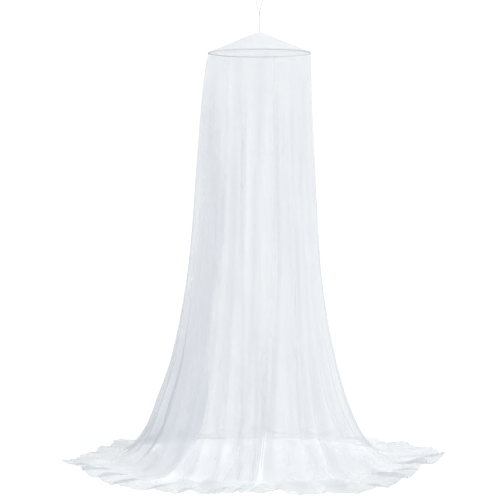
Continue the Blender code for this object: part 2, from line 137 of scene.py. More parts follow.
# Main creases, placed one by one. A route runs downwards through angle, level and share: the level is
# the height above the floor, or on the floor minus the share of the way out to the hem. left and
# right are its half widths and depth its depth, in millimetres. layers is the netting gathered in
# it. Both are below 0 where the cloth stands out or is thinner.
Crease = namedtuple("Crease", "route left right depth layers")
CREASES = (
    # the gathered left side, with its own right edge, and what lies in it
    Crease(((-54, 2.37, 0.10), (-53, 2.31, 0.20), (-47, 2.12, 0.45), (-43, 1.97, 0.70),
            (-41.5, 1.83, 0.85), (-38, 1.57, 1.05), (-38.5, 1.28, 1.25), (-40, 0.99, 1.4),
            (-39.6, 0.70, 1.5), (-37.3, 0.42, 1.75), (-38.2, 0.20, 1.85), (-41, 0.10, 1.4),
            (-42, 0.03, 1.0), (-41, -0.3, 0.7), (-41, -0.8, 0.0)), 400, 10, 0, 1.15),
    Crease(((-55, 2.1, 0.0), (-53, 1.95, 0.8), (-49, 1.74, 1.0), (-46, 1.45, 1.0), (-51, 1.20, 0.6),
            (-52, 0.8, 0.3), (-50, 0.4, 0.3), (-48, 0.2, 0.0)), 34, 30, 2, 0.45),
    Crease(((-51, 2.30, 0.0), (-52, 2.22, 0.7), (-52, 2.10, 0.9), (-52, 1.95, 0.4),
            (-52, 1.85, 0.0)), 7, 6, 1, 0.9),
    Crease(((-70, 1.85, 0.0), (-69, 1.55, 1.0), (-71, 1.32, 1.0), (-72, 1.08, 0.6), (-73, 0.9, 0.0)),
           30, 20, -3, -0.7),
    # the light strip beside it, then a broad darker one
    Crease(((-36, 2.25, 0.2), (-34, 1.98, 0.5), (-30, 1.75, 0.4), (-32, 1.40, 0.7), (-35, 1.20, 1.0),
            (-35, 0.99, 1.0), (-33, 0.71, 1.0), (-31, 0.48, 1.0), (-31, 0.26, 0.9), (-30, 0.1, 0.5),
            (-27, -0.1, 0.0)), 9, 13, -3, -0.30),
    Crease(((-27, 1.95, 0.0), (-26, 1.80, 0.7), (-24, 1.34, 1.0), (-24, 1.00, 1.0), (-27, 0.71, 0.8),
            (-28, 0.5, 0.0)), 34, 34, 4, 0.68),
    Crease(((-28, 0.80, 0.0), (-28, 0.60, 0.9), (-28, 0.43, 1.0), (-25, 0.26, 1.0), (-22, 0.05, 0.5),
            (-21, -0.2, 0.0)), 8, 8, 3, 0.5),
    # streaks that hang from the hoop, left of the middle
    Crease(((-22, 2.39, 0.5), (-21, 2.15, 1.0), (-19, 2.00, 1.0), (-18, 1.87, 0.6), (-18, 1.6, 0.0)),
           18, 14, 4, 0.62),
    Crease(((-18, 2.00, 0.0), (-18, 1.87, 1.0), (-18, 1.58, 1.0), (-17, 1.35, 0.9), (-16, 1.15, 0.0)),
           6, 6, 4, 0.72),
    Crease(((-11, 2.39, 0.3), (-10, 2.04, 0.8), (-11, 1.58, 1.0), (-11, 1.06, 0.8), (-11, 0.9, 0.0)),
           22, 20, -5, -0.55),
    Crease(((0, 2.39, 0.8), (0, 2.10, 1.0), (-2, 1.87, 0.8), (-3, 1.7, 0.0)), 18, 20, 4, 0.56),
    Crease(((-4, 1.80, 0.0), (-5, 1.70, 1.0), (-5, 1.35, 1.0), (-6, 1.00, 0.8), (-5, 0.72, 0.6),
            (-5, 0.6, 0.0)), 11, 12, 4, 0.75),
    Crease(((8, 2.39, 0.3), (6, 1.87, 1.0), (3, 1.58, 1.0), (2, 1.00, 0.8), (2, 0.8, 0.0)),
           16, 22, -4, -0.50),
    Crease(((-32, 2.39, 0.6), (-32, 2.25, 1.0), (-31, 2.10, 0.8), (-29, 1.95, 0.0)), 14, 14, -3, -0.45),
    # the long crease that leaves the middle and sweeps left at the foot
    Crease(((-8, 0.85, 0.0), (-8, 0.77, 1.0), (-8, 0.60, 1.0), (-9, 0.44, 1.0), (-11, 0.30, 1.2),
            (-13, 0.20, 1.0), (-16, 0.13, 0.8), (-19, 0.05, 0.4), (-22, -0.2, 0.0)), 9, 16, 5, 0.55),
    Crease(((-3, 0.95, 0.0), (-3, 0.77, 1.0), (-4, 0.44, 0.8), (-5, 0.25, 0.0)), 26, 26, 4, 0.35),
    # the way in: the crease on its line and the dark trough at its foot
    Crease(((16, 2.2, 0.0), (16, 2.10, 0.3), (16, 1.87, 0.5), (16, 1.58, 0.6), (14, 1.40, 1.0),
            (11, 1.00, 1.0), (9, 0.72, 0.9), (6, 0.47, 0.6), (4, 0.3, 0.0)), 12, 6, 3, 0.28),
    Crease(((3, 0.80, 0.0), (3, 0.62, 0.7), (3, 0.50, 0.9), (2.6, 0.44, 1.0), (2, 0.30, 1.1),
            (0.3, 0.20, 1.0),
            (-1.5, 0.08, 0.5), (-4.5, -0.15, 0.0)), 26, 18, 4, 1.4),
    Crease(((15, 0.85, 0.0), (14, 0.77, 1.0), (14, 0.60, 1.0), (14, 0.40, 0.8), (11, 0.16, 0.9),
            (8, -0.1, 0.7), (6, -0.6, 0.0)), 26, 30, -3, -0.18),
    Crease(((14, 2.30, 0.0), (15, 2.15, 0.8), (16, 1.90, 1.0), (18, 1.60, 0.8),
            (18, 1.4, 0.0)), 16, 20, 3, 0.22),
    # right of the middle
    Crease(((58, 2.38, 0.3), (60, 2.2, 0.8), (62, 1.7, 0.9), (60, 1.3, 0.5),
            (58, 1.0, 0.0)), 34, 60, 0, 0.28),
    Crease(((62, 0.90, 0.0), (60, 0.60, 0.5), (58, 0.30, 1.0), (68, 0.10, 1.0), (75, -0.2, 0.0)),
           110, 120, 0, -0.45),
    Crease(((28, 2.39, 0.3), (28, 2.15, 1.0), (28, 2.00, 0.8), (27, 1.9, 0.0)), 12, 14, -4, -0.44),
    Crease(((25, 2.05, 0.0), (25, 1.98, 1.0), (24, 1.74, 1.0), (23, 1.6, 0.0)), 7, 6, 3, 0.55),
    Crease(((36, 2.15, 0.0), (36, 2.06, 0.8), (35, 1.80, 0.9), (34, 1.57, 1.1), (32, 1.37, 0.9),
            (32, 1.25, 0.0)), 7, 8, 4, 0.75),
    Crease(((54, 2.25, 0.0), (54, 2.17, 1.0), (51, 1.85, 1.0), (42, 1.57, 0.6), (40, 1.4, 0.0)),
           34, 28, 4, 0.58),
    Crease(((36, 1.45, 0.0), (37, 1.34, 1.0), (33, 0.99, 1.0), (29, 0.71, 0.8), (28, 0.6, 0.0)),
           26, 24, 5, 0.56),
    Crease(((49, 1.40, 0.0), (49, 1.27, 1.0), (47, 0.98, 1.0), (46, 0.81, 0.6), (45, 0.6, 0.0)),
           26, 26, -3, -0.22),
    # the two curved creases low on the right
    Crease(((28, 0.80, 0.0), (28, 0.71, 0.4), (27, 0.56, 0.8), (24.5, 0.36, 1.1), (24.8, 0.23, 1.0),
            (28, 0.13, 0.6), (31, 0.04, 0.4), (32, -0.2, 0.0)), 9, 18, 4, 0.95),
    Crease(((36, 0.85, 0.0), (37, 0.70, 0.5), (39, 0.53, 0.8), (38, 0.39, 1.0), (37, 0.25, 1.2),
            (40.5, 0.13, 1.1), (41, 0.02, 0.9), (38, -0.3, 0.5), (37, -0.7, 0.0)), 18, 26, 4, 0.65),
    # the strongest creases, that sweep out to the left
    Crease(((-61, 0.60, 0.0), (-62, 0.44, 0.7), (-63, 0.32, 1.0), (-66, 0.23, 1.2), (-70, 0.17, 1.2),
            (-76, 0.10, 1.0), (-84, 0.02, 0.7), (-88, -0.3, 0.4), (-90, -0.7, 0.0)), 14, 24, 7, 1.6),
    Crease(((-44, 0.55, 0.0), (-44, 0.46, 0.5), (-43, 0.30, 0.8), (-43, 0.19, 0.6), (-42, 0.05, 0.3),
            (-42, -0.2, 0.0)), 12, 12, 4, 0.45),
    Crease(((-43, 0.10, 0.0), (-44, 0.07, 1.0), (-46, 0.04, 1.0), (-47, 0.01, 0.8), (-47, -0.1, 0.0)),
           9, 12, 4, 1.2),
    # bright places on the flare and the floor
    Crease(((-60, 0.15, 0.0), (-61, 0.13, 1.0), (-65, 0.08, 1.0), (-70, 0.04, 0.0)), 20, 18, -3, -1.8),
    Crease(((-31, 0.19, 0.0), (-30, 0.16, 1.0), (-31, 0.09, 1.0), (-27, -0.02, 0.9), (-25, -0.15, 0.0)),
           42, 40, -2, -0.8),
    Crease(((-18, 0.20, 0.0), (-18, 0.17, 1.0), (-18, 0.05, 1.0), (-18, -0.1, 0.0)), 24, 26, -2, -0.75),
    Crease(((26, 0.22, 0.0), (25, 0.18, 1.0), (23, 0.03, 1.0), (22, -0.1, 0.0)), 26, 28, -2, -0.65),
    Crease(((35, 0.18, 0.0), (35, 0.14, 1.0), (34, 0.04, 0.8), (34, -0.1, 0.0)), 20, 20, -2, -0.7),
    Crease(((-40, 0.04, 0.0), (-41, 0.02, 1.0), (-35, -0.35, 1.0), (-33, -0.6, 0.0)), 30, 34, -2, -1.2),
    # cloth bunched up at the hem
    Crease(((-21, 0.03, 0.0), (-19, -0.13, 1.0), (-17, -0.40, 1.2), (-15, -0.63, 0.6),
            (-13, -1.0, 0.4)), 46, 40, 12, 2.4),
    Crease(((-32, 0.0, 0.0), (-28, -0.24, 1.0), (-25, -0.50, 0.8), (-22, -0.9, 0.0)), 50, 44, 9, 1.5),
    Crease(((-6, 0.01, 0.0), (-5, -0.35, 0.7), (-4, -0.7, 1.0), (-3, -1.0, 1.0)), 60, 54, 8, 1.3),
    Crease(((9, -0.05, 0.0), (8, -0.3, 1.0), (6, -0.8, 1.0), (5, -1.0, 0.6)), 30, 34, 9, 1.3),
    Crease(((20, 0.0, 0.0), (17, -0.21, 1.0), (15, -0.50, 1.0), (14, -0.75, 0.0)), 64, 56, 10, 1.9),
    Crease(((33, 0.0, 0.0), (29, -0.25, 1.0), (26, -0.55, 1.2), (23, -0.9, 0.7)), 64, 58, 10, 2.1),
    Crease(((58, 0.07, 0.0), (59, 0.03, 1.0), (56, -0.15, 0.9), (52, -0.4, 0.0)), 34, 40, 8, 1.6),
    Crease(((46, -0.2, 0.0), (45, -0.5, 1.0), (43, -0.9, 0.6)), 70, 60, 7, 0.9),
    Crease(((80, -0.05, 0.0), (78, -0.4, 1.0), (75, -0.9, 1.0)), 26, 30, 8, 1.9),
    Crease(((59, -0.4, 0.0), (57, -0.7, 1.0), (56, -1.0, 1.2)), 24, 26, 7, 1.6),
    Crease(((92, -0.1, 0.0), (92, -0.4, 1.0), (93, -0.9, 0.8)), 20, 24, 6, 1.2),
    Crease(((-98, 0.12, 0.0), (-104, 0.03, 1.0), (-116, -0.4, 1.0), (-116, -0.8, 0.6)), 24, 24, 4, 1.6),
    Crease(((-88, -0.2, 0.0), (-80, -0.55, 1.0), (-76, -0.95, 1.0)), 28, 30, 7, 1.5),
    Crease(((-66, 0.0, 0.0), (-58, -0.4, 0.6), (-51, -0.8, 1.0), (-50, -1.0, 0.7)), 40, 36, 8, 1.3),
    Crease(((-52, 0.0, 0.0), (-46, -0.3, 0.7), (-41, -0.65, 1.0), (-38, -1.0, 0.6)), 44, 40, 8, 1.2),
    Crease(((-36, -0.2, 0.0), (-31, -0.6, 0.8), (-28, -0.9, 1.0), (-27, -1.0, 0.8)), 56, 50, 8, 1.3),
    # sides and back
    Crease(((70, 2.30, 0.0), (71, 2.0, 0.8), (73, 1.4, 1.0), (72, 0.8, 0.8),
            (70, 0.3, 0.0)), 20, 12, 5, 0.4),
    Crease(((88, 1.9, 0.0), (87, 1.5, 1.0), (86, 0.9, 1.0), (88, 0.3, 1.0),
            (90, -0.5, 0.0)), 9, 14, 6, 0.6),
    Crease(((104, 2.36, 0.4), (103, 1.7, 1.0), (105, 1.1, 0.4), (106, 0.8, 0.0)), 8, 8, 4, 0.6),
    Crease(((121, 1.6, 0.0), (119, 1.2, 1.0), (117, 0.6, 1.0), (116, 0.1, 0.8),
            (118, -0.5, 0.0)), 14, 9, 6, 0.7),
    Crease(((136, 2.36, 0.5), (134, 1.8, 1.0), (136, 1.2, 0.7), (138, 0.9, 0.0)), 22, 16, 4, 0.3),
    Crease(((149, 2.1, 0.0), (150, 1.5, 1.0), (148, 0.7, 1.0), (147, 0.2, 1.0),
            (149, -0.4, 0.0)), 8, 10, 6, 0.7),
    Crease(((165, 2.36, 0.4), (164, 1.9, 1.0), (166, 1.3, 0.6), (167, 1.0, 0.0)), 9, 7, 4, 0.6),
    Crease(((179, 1.3, 0.0), (178, 0.9, 1.0), (179, 0.3, 1.0), (181, -0.5, 0.0)), 12, 12, 6, 0.6),
    Crease(((193, 2.2, 0.0), (194, 1.6, 1.0), (192, 0.9, 0.8), (191, 0.5, 0.0)), 10, 20, 5, 0.4),
    Crease(((208, 2.36, 0.5), (207, 1.7, 0.9), (209, 1.0, 1.0), (208, 0.3, 0.9),
            (210, -0.4, 0.0)), 8, 8, 5, 0.6),
    Crease(((223, 1.7, 0.0), (222, 1.3, 1.0), (224, 0.8, 0.9), (225, 0.2, 0.0)), 18, 12, 5, 0.5),
    Crease(((238, 2.36, 0.5), (238, 1.8, 1.0), (240, 1.1, 1.0), (242, 0.4, 1.0),
            (245, -0.5, 0.0)), 10, 8, 6, 0.6),
)

# The shape of one fold: how sharp its valley is, how far the hem is notched there, also for each
# metre of the ridge's height, the notch's share at the sides, and how much of a ridge lies flat
FOLD_SHARPNESS = 1.3
HEM_NOTCH = 0.025
NOTCH_PER_RIDGE = 1.1
SIDE_NOTCH_SHARE = 0.35
FLOOR_SHARE = 0.15

# Rows of the skirt's mesh: the seam's, the highest of the others, and how these crowd downwards
# and outwards. The edge strips are shares of the lap's width.
SEAM_ROWS = (2.3992, 2.3965, 2.392, 2.386, 2.378, 2.366)
WALL_TOP = 2.350
WALL_CROWDING = 1.25
FLOOR_CROWDING = 0.92
EDGE_STRIPS = (1.0, 0.7, 0.4, 0.2)

# Small pleats, ruffles and waves: the heights between which the wall has its pleats and creases,
# how far each pleat or ruffle wanders as a share of a fold, the middle and swing of its size, how
# far ruffles reach out and the wall waves, and what the back keeps of its ridges and crumples
PLEATED_WALL = (0.0, 0.02, 2.36, 2.398)
CREASED_WALL = (0.0, 0.03, 2.34, 2.39)
PLEAT_WANDER = 0.10
PLEAT_SIZE, PLEAT_SWING = 0.75, 0.9
PLEAT_IN_VALLEYS = 0.35
RUFFLE_WANDER = 0.16
RUFFLE_SIZE, RUFFLE_SWING, RUFFLE_LEAST = 0.55, 0.9, 0.05
RUFFLE_REACH = 0.012
WALL_WAVE = 0.005
RIDGE_AT_BACK = 0.78
CALM_BACK = 0.3

# Layers of netting that show at a place, 1 for one flat layer. The front gives way to the back
# between two shares of +Y in the direction from the axis, farther back out on the floor.
BACK_OF_WALL = (-0.1, 0.4)
BACK_OF_SPREAD = (0.25, 0.7)
FARTHER_BACK = 0.2
# The front's value and the back's, which is less, because light falls through both: the height
# below which the wall gets the spread's crowded look, the crowding, its least value, the share that
# creases add, and the factor at the hem
FLARE_TOP = (0.37, 0.10)
CROWD = (1.85, 0.25)
LEAST_CROWD = (0.9, 0.25)
CREASE_SHARE = (1.0, 0.5)
HEM_LAYERS = (1.45, 1.05)
# The same front and back: what valleys, patches, fine patches and the spread add to the crowding,
# the most that a fold's flank shows, how much less the left and right sides show, the least value,
# and the factors of the edge strips, the seam and the hemmed edges
CROWD_IN_VALLEYS = 0.3
CROWD_SWING, CROWD_SCALE = 0.8, 7.0
FINE_SWING, FINE_SCALE = 0.7, 17.0
SPREAD_EXTRA = 0.3
MOST_FLANK = 1.5
SIDE_THINNING, SIDE_DEGREES = 0.42, 12
LEAST_LAYERS = 0.30
STRIP_LAYERS = 0.42
SEAM_LAYERS = 1.15
EDGE_LAYERS = 1.05
EDGE_HEM_SHARE = 0.7

# Crown: columns, the rounded tip as distances out and down, the even rows of its slope, the shares
# of the turn over the tape, its fine gathers and their heights, and how sheer it is
CROWN_STEPS = 360
CROWN_TIP = ((0.0, 0.0), (0.004, 0.0006), (0.008, 0.0020), (0.014, 0.0045), (0.022, 0.0080))
CROWN_ROWS = 34
CROWN_TURN = (0.8, 0.6, 0.4, 0.2, 0.06)
CROWN_GATHERS = 46
GATHER_HEIGHT, CROWN_WAVE, CROWN_SAG = 0.0005, 0.0012, 0.0006
CROWN_LAYERS, TIP_THINNING, LEFT_EXTRA = 0.79, 0.28, 0.4
CROWN_UV_RADIUS = 0.16

# Tape: columns, points on each of its two faces, half of its open mouth and its puckers
TAPE_STEPS = 288
TAPE_SIDES = 20
TAPE_MOUTH_DEGREES = 25
TAPE_PUCKER = 0.00022

# Stitches: how far they stand out from the seam, their height, thickness and tilt
SEAM_RADIUS = 0.3030
STITCH_OUT = 0.0012
STITCH_HEIGHT = 2.3868
STITCH_HALF_THICK, STITCH_HALF_TALL = 0.00035, 0.00045
STITCH_TILT = 0.10

# Twisted cord: strands, points round each, the length of one turn, and how deep its grooves are
STRANDS = 3
STRAND_POINTS = 6
CORD_LAY = 0.011
GROOVE = 0.20
CORD_SPACING, LOOP_SPACING = 0.0012, 0.0014

# Whipping: the thread's thickness and lay, its turns, the points of each and how far its ends tuck in
WHIPPING_THREAD = 0.0029
WHIPPING_LAY = 0.010
WHIPPING_TURNS = 9
WHIPPING_POINTS = 30
WHIPPING_TUCK = 0.35

# Hanging loop's middle line, as offsets in X and heights above the floor, from the solids
LOOP_ROUTE = (
    (-0.0018, KNOT_TOP_HEIGHT + SEAT_GAP),
    (-0.0045, 2.657),
    (-0.0125, 2.670),
    (-0.0165, 2.688),
    (-0.0150, 2.708),
    (-0.0105, 2.728),
    (-0.0060, 2.741),
    (0.0, HANG_HEIGHT + 0.0015),
    (0.0090, 2.742),
    (0.0175, 2.728),
    (0.0195, 2.708),
    (0.0130, 2.684),
    (0.0060, 2.664),
    (0.0018, KNOT_TOP_HEIGHT + SEAT_GAP),
)

# Netting: the directions of its threads on the UV map, the share of light that one layer's hole and
# thread stop, the share that passes on through the cloth, and up to where it has the painted lighting tint
# of netting on the floor
THREAD_DEGREES = (90, 30, 150)
NET_CLOSED = (0.16, 0.60)
NET_GLOW = 0.35
PAINTED_TINT_HEIGHT = 0.16
TAPE_RIB_PITCH, TAPE_RIB_WIDTH = 0.0009, 0.0005
TAPE_WARP_PITCH, TAPE_WARP_WIDTH = 0.0006, 0.0003

# Stage: the floor's reach, its drop below the net and its own glow, the white that the camera sees
# round it, the pale surround that lights the net, and two suns with their azimuth from the front,
# elevation, strength and spread in degrees
FLOOR_RADIUS = 160.0
FLOOR_DROP = 0.0006
FLOOR_GLOW = 0.45
SEEN_STRENGTH = 1.03
SURROUND_COLOUR, SURROUND_STRENGTH = (0.96, 0.98, 1.0), 0.42
SUNS = (
    ("key_light", 60, 45, 1.10, 40),
    ("fill_light", -60, 60, 0.20, 70),
)

# Camera: the photograph's view, from far off and a little above
CAMERA_LENS = 271.9
CAMERA_SIDE, CAMERA_DISTANCE, CAMERA_HEIGHT = -0.0555, 22.0, 4.12
CAMERA_DOWN_DEGREES = 7.455


class NetSizes(bpy.types.PropertyGroup):
    """Sizes that the operators read."""

    steps: IntProperty(
        name="Steps", description="Columns of the skirt's mesh for each fold", default=30, min=8, max=30
    )
    wall_rows: IntProperty(
        name="Wall rows", description="Rows of the skirt's mesh from hoop to floor",
        default=79, min=20, max=80,
    )
    floor_rows: IntProperty(
        name="Floor rows", description="Rows of the skirt's mesh on the floor", default=32, min=8, max=32
    )
    lap_width: FloatProperty(
        name="Lap width", description="Overlap of the two front edges", default=0.014, unit="LENGTH"
    )
    lap_gap: FloatProperty(
        name="Lap gap", description="Between the two lapping edges, middle to middle",
        default=0.0032, unit="LENGTH",
    )
    half_cloth: FloatProperty(
        name="Half cloth", description="From the solid's inner face to the middle of the cloth",
        default=0.001, unit="LENGTH",
    )
    hem_width: FloatProperty(
        name="Hem width", description="Doubled cloth at the foot and the front edges",
        default=0.012, unit="LENGTH",
    )
    seam_width: FloatProperty(
        name="Seam width", description="Gathered cloth sewn under the hoop", default=0.014, unit="LENGTH"
    )
    crumple: FloatProperty(
        name="Crumple", description="Height of the soft crumples on the floor", default=0.010, unit="LENGTH"
    )
    ruffle: FloatProperty(
        name="Ruffle", description="Height of the ruffles at the hem", default=0.013, unit="LENGTH"
    )
    net_pitch: FloatProperty(
        name="Net pitch", description="From one thread of the netting to the next",
        default=0.0016, unit="LENGTH",
    )
    net_thread: FloatProperty(
        name="Net thread", description="Width of one thread of the netting", default=0.00018, unit="LENGTH"
    )
    cord_diameter: FloatProperty(
        name="Cord diameter", description="Thickness of the twisted cord", default=0.003, unit="LENGTH"
    )
    whipping_diameter: FloatProperty(
        name="Whipping diameter", description="Outside of the wound turns", default=0.0085, unit="LENGTH"
    )
    stitch_length: FloatProperty(
        name="Stitch length", description="Length of one stitch of the tape", default=0.0042, unit="LENGTH"
    )
    stitch_pitch: FloatProperty(
        name="Stitch pitch", description="From one stitch to the next", default=0.0065, unit="LENGTH"
    )


class NetColours(bpy.types.PropertyGroup):
    """Colours that the operators read."""

    net: FloatVectorProperty(
        name="Net", description="Thread of the netting", default=(0.767, 0.808, 0.848),
        subtype="COLOR", size=3, min=0, max=1,
    )
    # painted shade: the darker colour of netting gathered in folds, also used for its faint random clouds
    net_clouds_and_fold_shade: FloatVectorProperty(
        name="Net in folds", description="Netting where it is gathered", default=(0.735, 0.772, 0.845),
        subtype="COLOR", size=3, min=0, max=1,
    )
    # painted lighting tint: netting that lies on the floor, greyer and less blue for the light that falls
    # on it from above
    net_floor_lighting_tint: FloatVectorProperty(
        name="Net on the floor", description="Netting that lies on the floor", default=(0.742, 0.772, 0.79),
        subtype="COLOR", size=3, min=0, max=1,
    )
    tape: FloatVectorProperty(
        name="Tape", description="Tape round the hoop", default=(0.975, 0.98, 0.985),
        subtype="COLOR", size=3, min=0, max=1,
    )
    rod: FloatVectorProperty(
        name="Rod", description="Rod of the hoop", default=(0.95, 0.95, 0.945),
        subtype="COLOR", size=3, min=0, max=1,
    )
    cord: FloatVectorProperty(
        name="Cord", description="Twisted cord", default=(0.74, 0.74, 0.735),
        subtype="COLOR", size=3, min=0, max=1,
    )
    thread: FloatVectorProperty(
        name="Thread", description="Whipping and stitches", default=(0.97, 0.97, 0.97),
        subtype="COLOR", size=3, min=0, max=1,
    )
    floor: FloatVectorProperty(
        name="Floor", description="Plain floor", default=(0.90, 0.90, 0.90),
        subtype="COLOR", size=3, min=0, max=1,
    )


# ---------------------------------------------------------------- shapes


def height_z(height):
    """The Z of a height above the floor."""
    return height - HANG_HEIGHT


def place(angle, radius, height):
    """World point at an angle from the front, a distance from the axis and a height."""
    return Vector((radius * math.sin(angle), -radius * math.cos(angle), height_z(height)))


def ease(value, low, high):
    """0 below low, 1 above high and a soft step between them."""
    share = min(1.0, max(0.0, (value - low) / (high - low)))
    return share * share * (3 - 2 * share)


def between(first, second, share):
    """The value at a share of the way from the first to the second."""
    return first + (second - first) * share


def soft_noise(*spot):
    """A random value between about -1 and 1 that changes slowly with the spot, the same each run."""
    return noise.noise(Vector(spot))


def smooth_values(knots, values, wanted):
    """Values at the wanted places of a smooth curve through the given ones, with no overshoot."""
    knots = np.asarray(knots, float)
    values = np.asarray(values, float)
    gaps = np.diff(knots)
    slopes = np.diff(values) / gaps
    tangents = np.zeros_like(values)
    before, after = slopes[:-1], slopes[1:]
    same = before * after > 0
    tangents[1:-1][same] = 2 * before[same] * after[same] / (before[same] + after[same])
    tangents[0], tangents[-1] = slopes[0], slopes[-1]
    cell = np.clip(np.searchsorted(knots, wanted, side="right") - 1, 0, len(gaps) - 1)
    t = (np.asarray(wanted) - knots[cell]) / gaps[cell]
    return (
        values[cell] * (1 + 2 * t) * (1 - t) ** 2
        + tangents[cell] * gaps[cell] * t * (1 - t) ** 2
        + values[cell + 1] * t**2 * (3 - 2 * t)
        + tangents[cell + 1] * gaps[cell] * t**2 * (t - 1)
    )


Row = namedtuple("Row", "height out left right front back fold_mid fold_foot parting ridge")


def skirt_rows(sizes):
    """Each row of the skirt from the hoop down the wall and out over the floor to the hem."""
    shares = np.linspace(0, 1, sizes.wall_rows)
    heights = np.array([*SEAM_ROWS, *(WALL_TOP * (1 - shares) ** WALL_CROWDING)])
    knots = [-section.height for section in SECTIONS]
    fields = [
        smooth_values(knots, [getattr(section, name) for section in SECTIONS], -heights)
        for name in ("left", "right", "front", "back", "fold_mid", "fold_foot", "parting")
    ]
    rows = [Row(height, None, *values, 0.0) for height, *values in zip(heights, *fields)]
    outs = np.linspace(0, 1, sizes.floor_rows + 1)[1:] ** FLOOR_CROWDING
    knots = [band.out for band in BANDS]
    ridges = smooth_values(knots, [band.ridge for band in BANDS], outs)
    partings = smooth_values(knots, [band.parting for band in BANDS], outs)
    foot = rows[-1]
    for out, ridge_share, parting in zip(outs, ridges, partings):
        rows.append(foot._replace(out=out, ridge=ridge_share, parting=parting))
    return rows


def wall_reach(row, angle):
    """Reach of the wall's crests at an angle, blended from the row's four reaches."""
    side = math.sin(angle)
    front = math.cos(angle)
    reach_x = row.right if side > 0 else row.left
    reach_y = row.front if front > 0 else row.back
    return reach_x * side**2 + reach_y * front**2


def valley(step):
    """Share of a fold's depth at a step of the way to the next fold: 1 in each valley."""
    return ((1 + math.cos(2 * math.pi * step)) / 2) ** FOLD_SHARPNESS


def ridge(step):
    """Share of a ridge's height on the floor: flat in each valley, round between them."""
    return max(0.0, (math.sin(math.pi * step) ** 2 - FLOOR_SHARE) / (1 - FLOOR_SHARE))


def fold_pair(index):
    """The folds at the two ends of a stretch of cloth, the last one the way in again."""
    return FOLDS[index], FOLDS[(index + 1) % len(FOLDS)]


def valley_angle(fold, row):
    """Angle of a fold's valley in degrees."""
    if row.out is not None:
        return between(fold.foot_deg, fold.hem_deg, row.out)
    if row.height < MID_HEIGHT:
        return between(fold.foot_deg, fold.mid_deg, row.height / MID_HEIGHT)
    share = (row.height - MID_HEIGHT) / (HOOP_HEIGHT - MID_HEIGHT)
    return between(fold.mid_deg, fold.hoop_deg, share)


def cloth_angle(sizes, row, index, step):
    """Angle in radians at a step of the way from one fold's valley to the next."""
    near, far = fold_pair(index)
    start = math.radians(valley_angle(near, row))
    end = math.radians(valley_angle(far, row))
    reach = FOLDS[0].reach if row.out is not None else row.front
    lap = (row.parting / 2 + sizes.lap_width) / reach
    if index == 0:
        start += lap
    if index == len(FOLDS) - 1:
        end += 2 * math.pi - lap
    return between(start, end, step)


def pleat(row, index, step):
    """Depth of the small pleats between two folds. Each has its own depth, and they wander."""
    fold = FOLDS[index]
    height = row.height if row.out is None else -0.4 * row.out
    wander = soft_noise(index * 3.7, height * 0.9, 4.0)
    turn = step + PLEAT_WANDER * wander * math.sin(math.pi * step)
    number = math.floor(fold.pleats * turn + 0.5)
    own = PLEAT_SIZE + PLEAT_SWING * soft_noise((index + number / fold.pleats) * 5.3, height * 1.3, 9.0)
    if height > MID_HEIGHT:
        share = (height - MID_HEIGHT) / (HOOP_HEIGHT - MID_HEIGHT)
        depth = between(fold.mid_pleat, fold.hoop_pleat, share)
    else:
        share = 1 - max(0.0, height) / MID_HEIGHT
        depth = between(fold.mid_pleat, fold.foot_pleat, share**2)
    between_valleys = math.sin(math.pi * step) ** 2
    here = PLEAT_IN_VALLEYS + (1 - PLEAT_IN_VALLEYS) * between_valleys
    return depth * max(0.0, own) * MILLIMETRE * valley(fold.pleats * turn) * here


def ruffle(row, index, step):
    """Share of the hem's ruffles at a place on the floor: 0 in each valley between them."""
    ruffles = FOLDS[index].ruffles
    wander = soft_noise(index * 2.9, step * 1.7, row.out * 1.5 + 31.0)
    turn = step + RUFFLE_WANDER * wander * math.sin(math.pi * step)
    wave = (1 - math.cos(2 * math.pi * ruffles * turn)) / 2
    own = RUFFLE_SIZE + RUFFLE_SWING * soft_noise(index * 6.1, math.floor(ruffles * turn) * 2.3, 17.0)
    return wave * max(RUFFLE_LEAST, own)


def on_wall(height, span):
    """1 on the wall, easing to 0 at the floor and under the hoop."""
    foot, full_low, full_high, top = span
    return ease(height, foot, full_low) * (1 - ease(height, full_high, top))


def hanging_place(sizes, row, index, step, lap, angle, radius):
    """Radius and height of the hanging cloth, with its small pleats and slow waves."""
    slow = soft_noise(math.sin(angle) * 2.1, math.cos(angle) * 2.1, row.height * 1.4)
    small = WALL_WAVE * slow - pleat(row, index, step)
    radius += sizes.half_cloth + on_wall(row.height, PLEATED_WALL) * small
    if row.parting < 0:
        radius += lap * sizes.lap_gap
    height = max(row.height, 0.0) + sizes.half_cloth * (1 - ease(row.height, 0.0, 0.05))
    return radius, height


def lying_place(sizes, row, index, step, angle, foot_radius):
    """Radius and height of the cloth on the floor, with its ridges, crumples and ruffles."""
    near, far = fold_pair(index)
    beside = FOLDS[index - 1] if step < 0.5 else far
    reach = between(near.reach, beside.reach, abs(step - 0.5))
    notch = between(1.0, SIDE_NOTCH_SHARE, ease(abs(math.sin(angle)), 0.55, 0.85))
    hem = reach - notch * (HEM_NOTCH + NOTCH_PER_RIDGE * near.ridge) * valley(step)
    wave = ruffle(row, index, step)
    radius = between(foot_radius + sizes.half_cloth, hem, row.out)
    radius += RUFFLE_REACH * (wave - 0.4) * ease(row.out, 0.55, 1.0)
    spot = Vector((radius * math.sin(angle), radius * math.cos(angle), 3.0))
    at_back = ease(-math.cos(angle), -0.1, 0.4)
    calm = between(1.0, CALM_BACK, at_back)
    lump = 0.5 + 1.2 * max(0.0, 0.5 + noise.noise(spot * 7.5)) * ease(row.out, 0.1, 0.5)
    height = sizes.half_cloth + near.ridge * ridge(step) * row.ridge * between(lump, RIDGE_AT_BACK, at_back)
    crumple = 0.5 + 0.5 * noise.fractal(spot * 8.0, 0.9, 2.1, 2)
    more_outside = 0.1 + 0.9 * ease(row.out, 0.45, 0.85)
    height += sizes.crumple * crumple**2 * more_outside * ease(row.out, 0.0, 0.35) * calm
    height += sizes.ruffle * wave * ease(row.out, 0.30, 0.95) * calm
    return radius, height


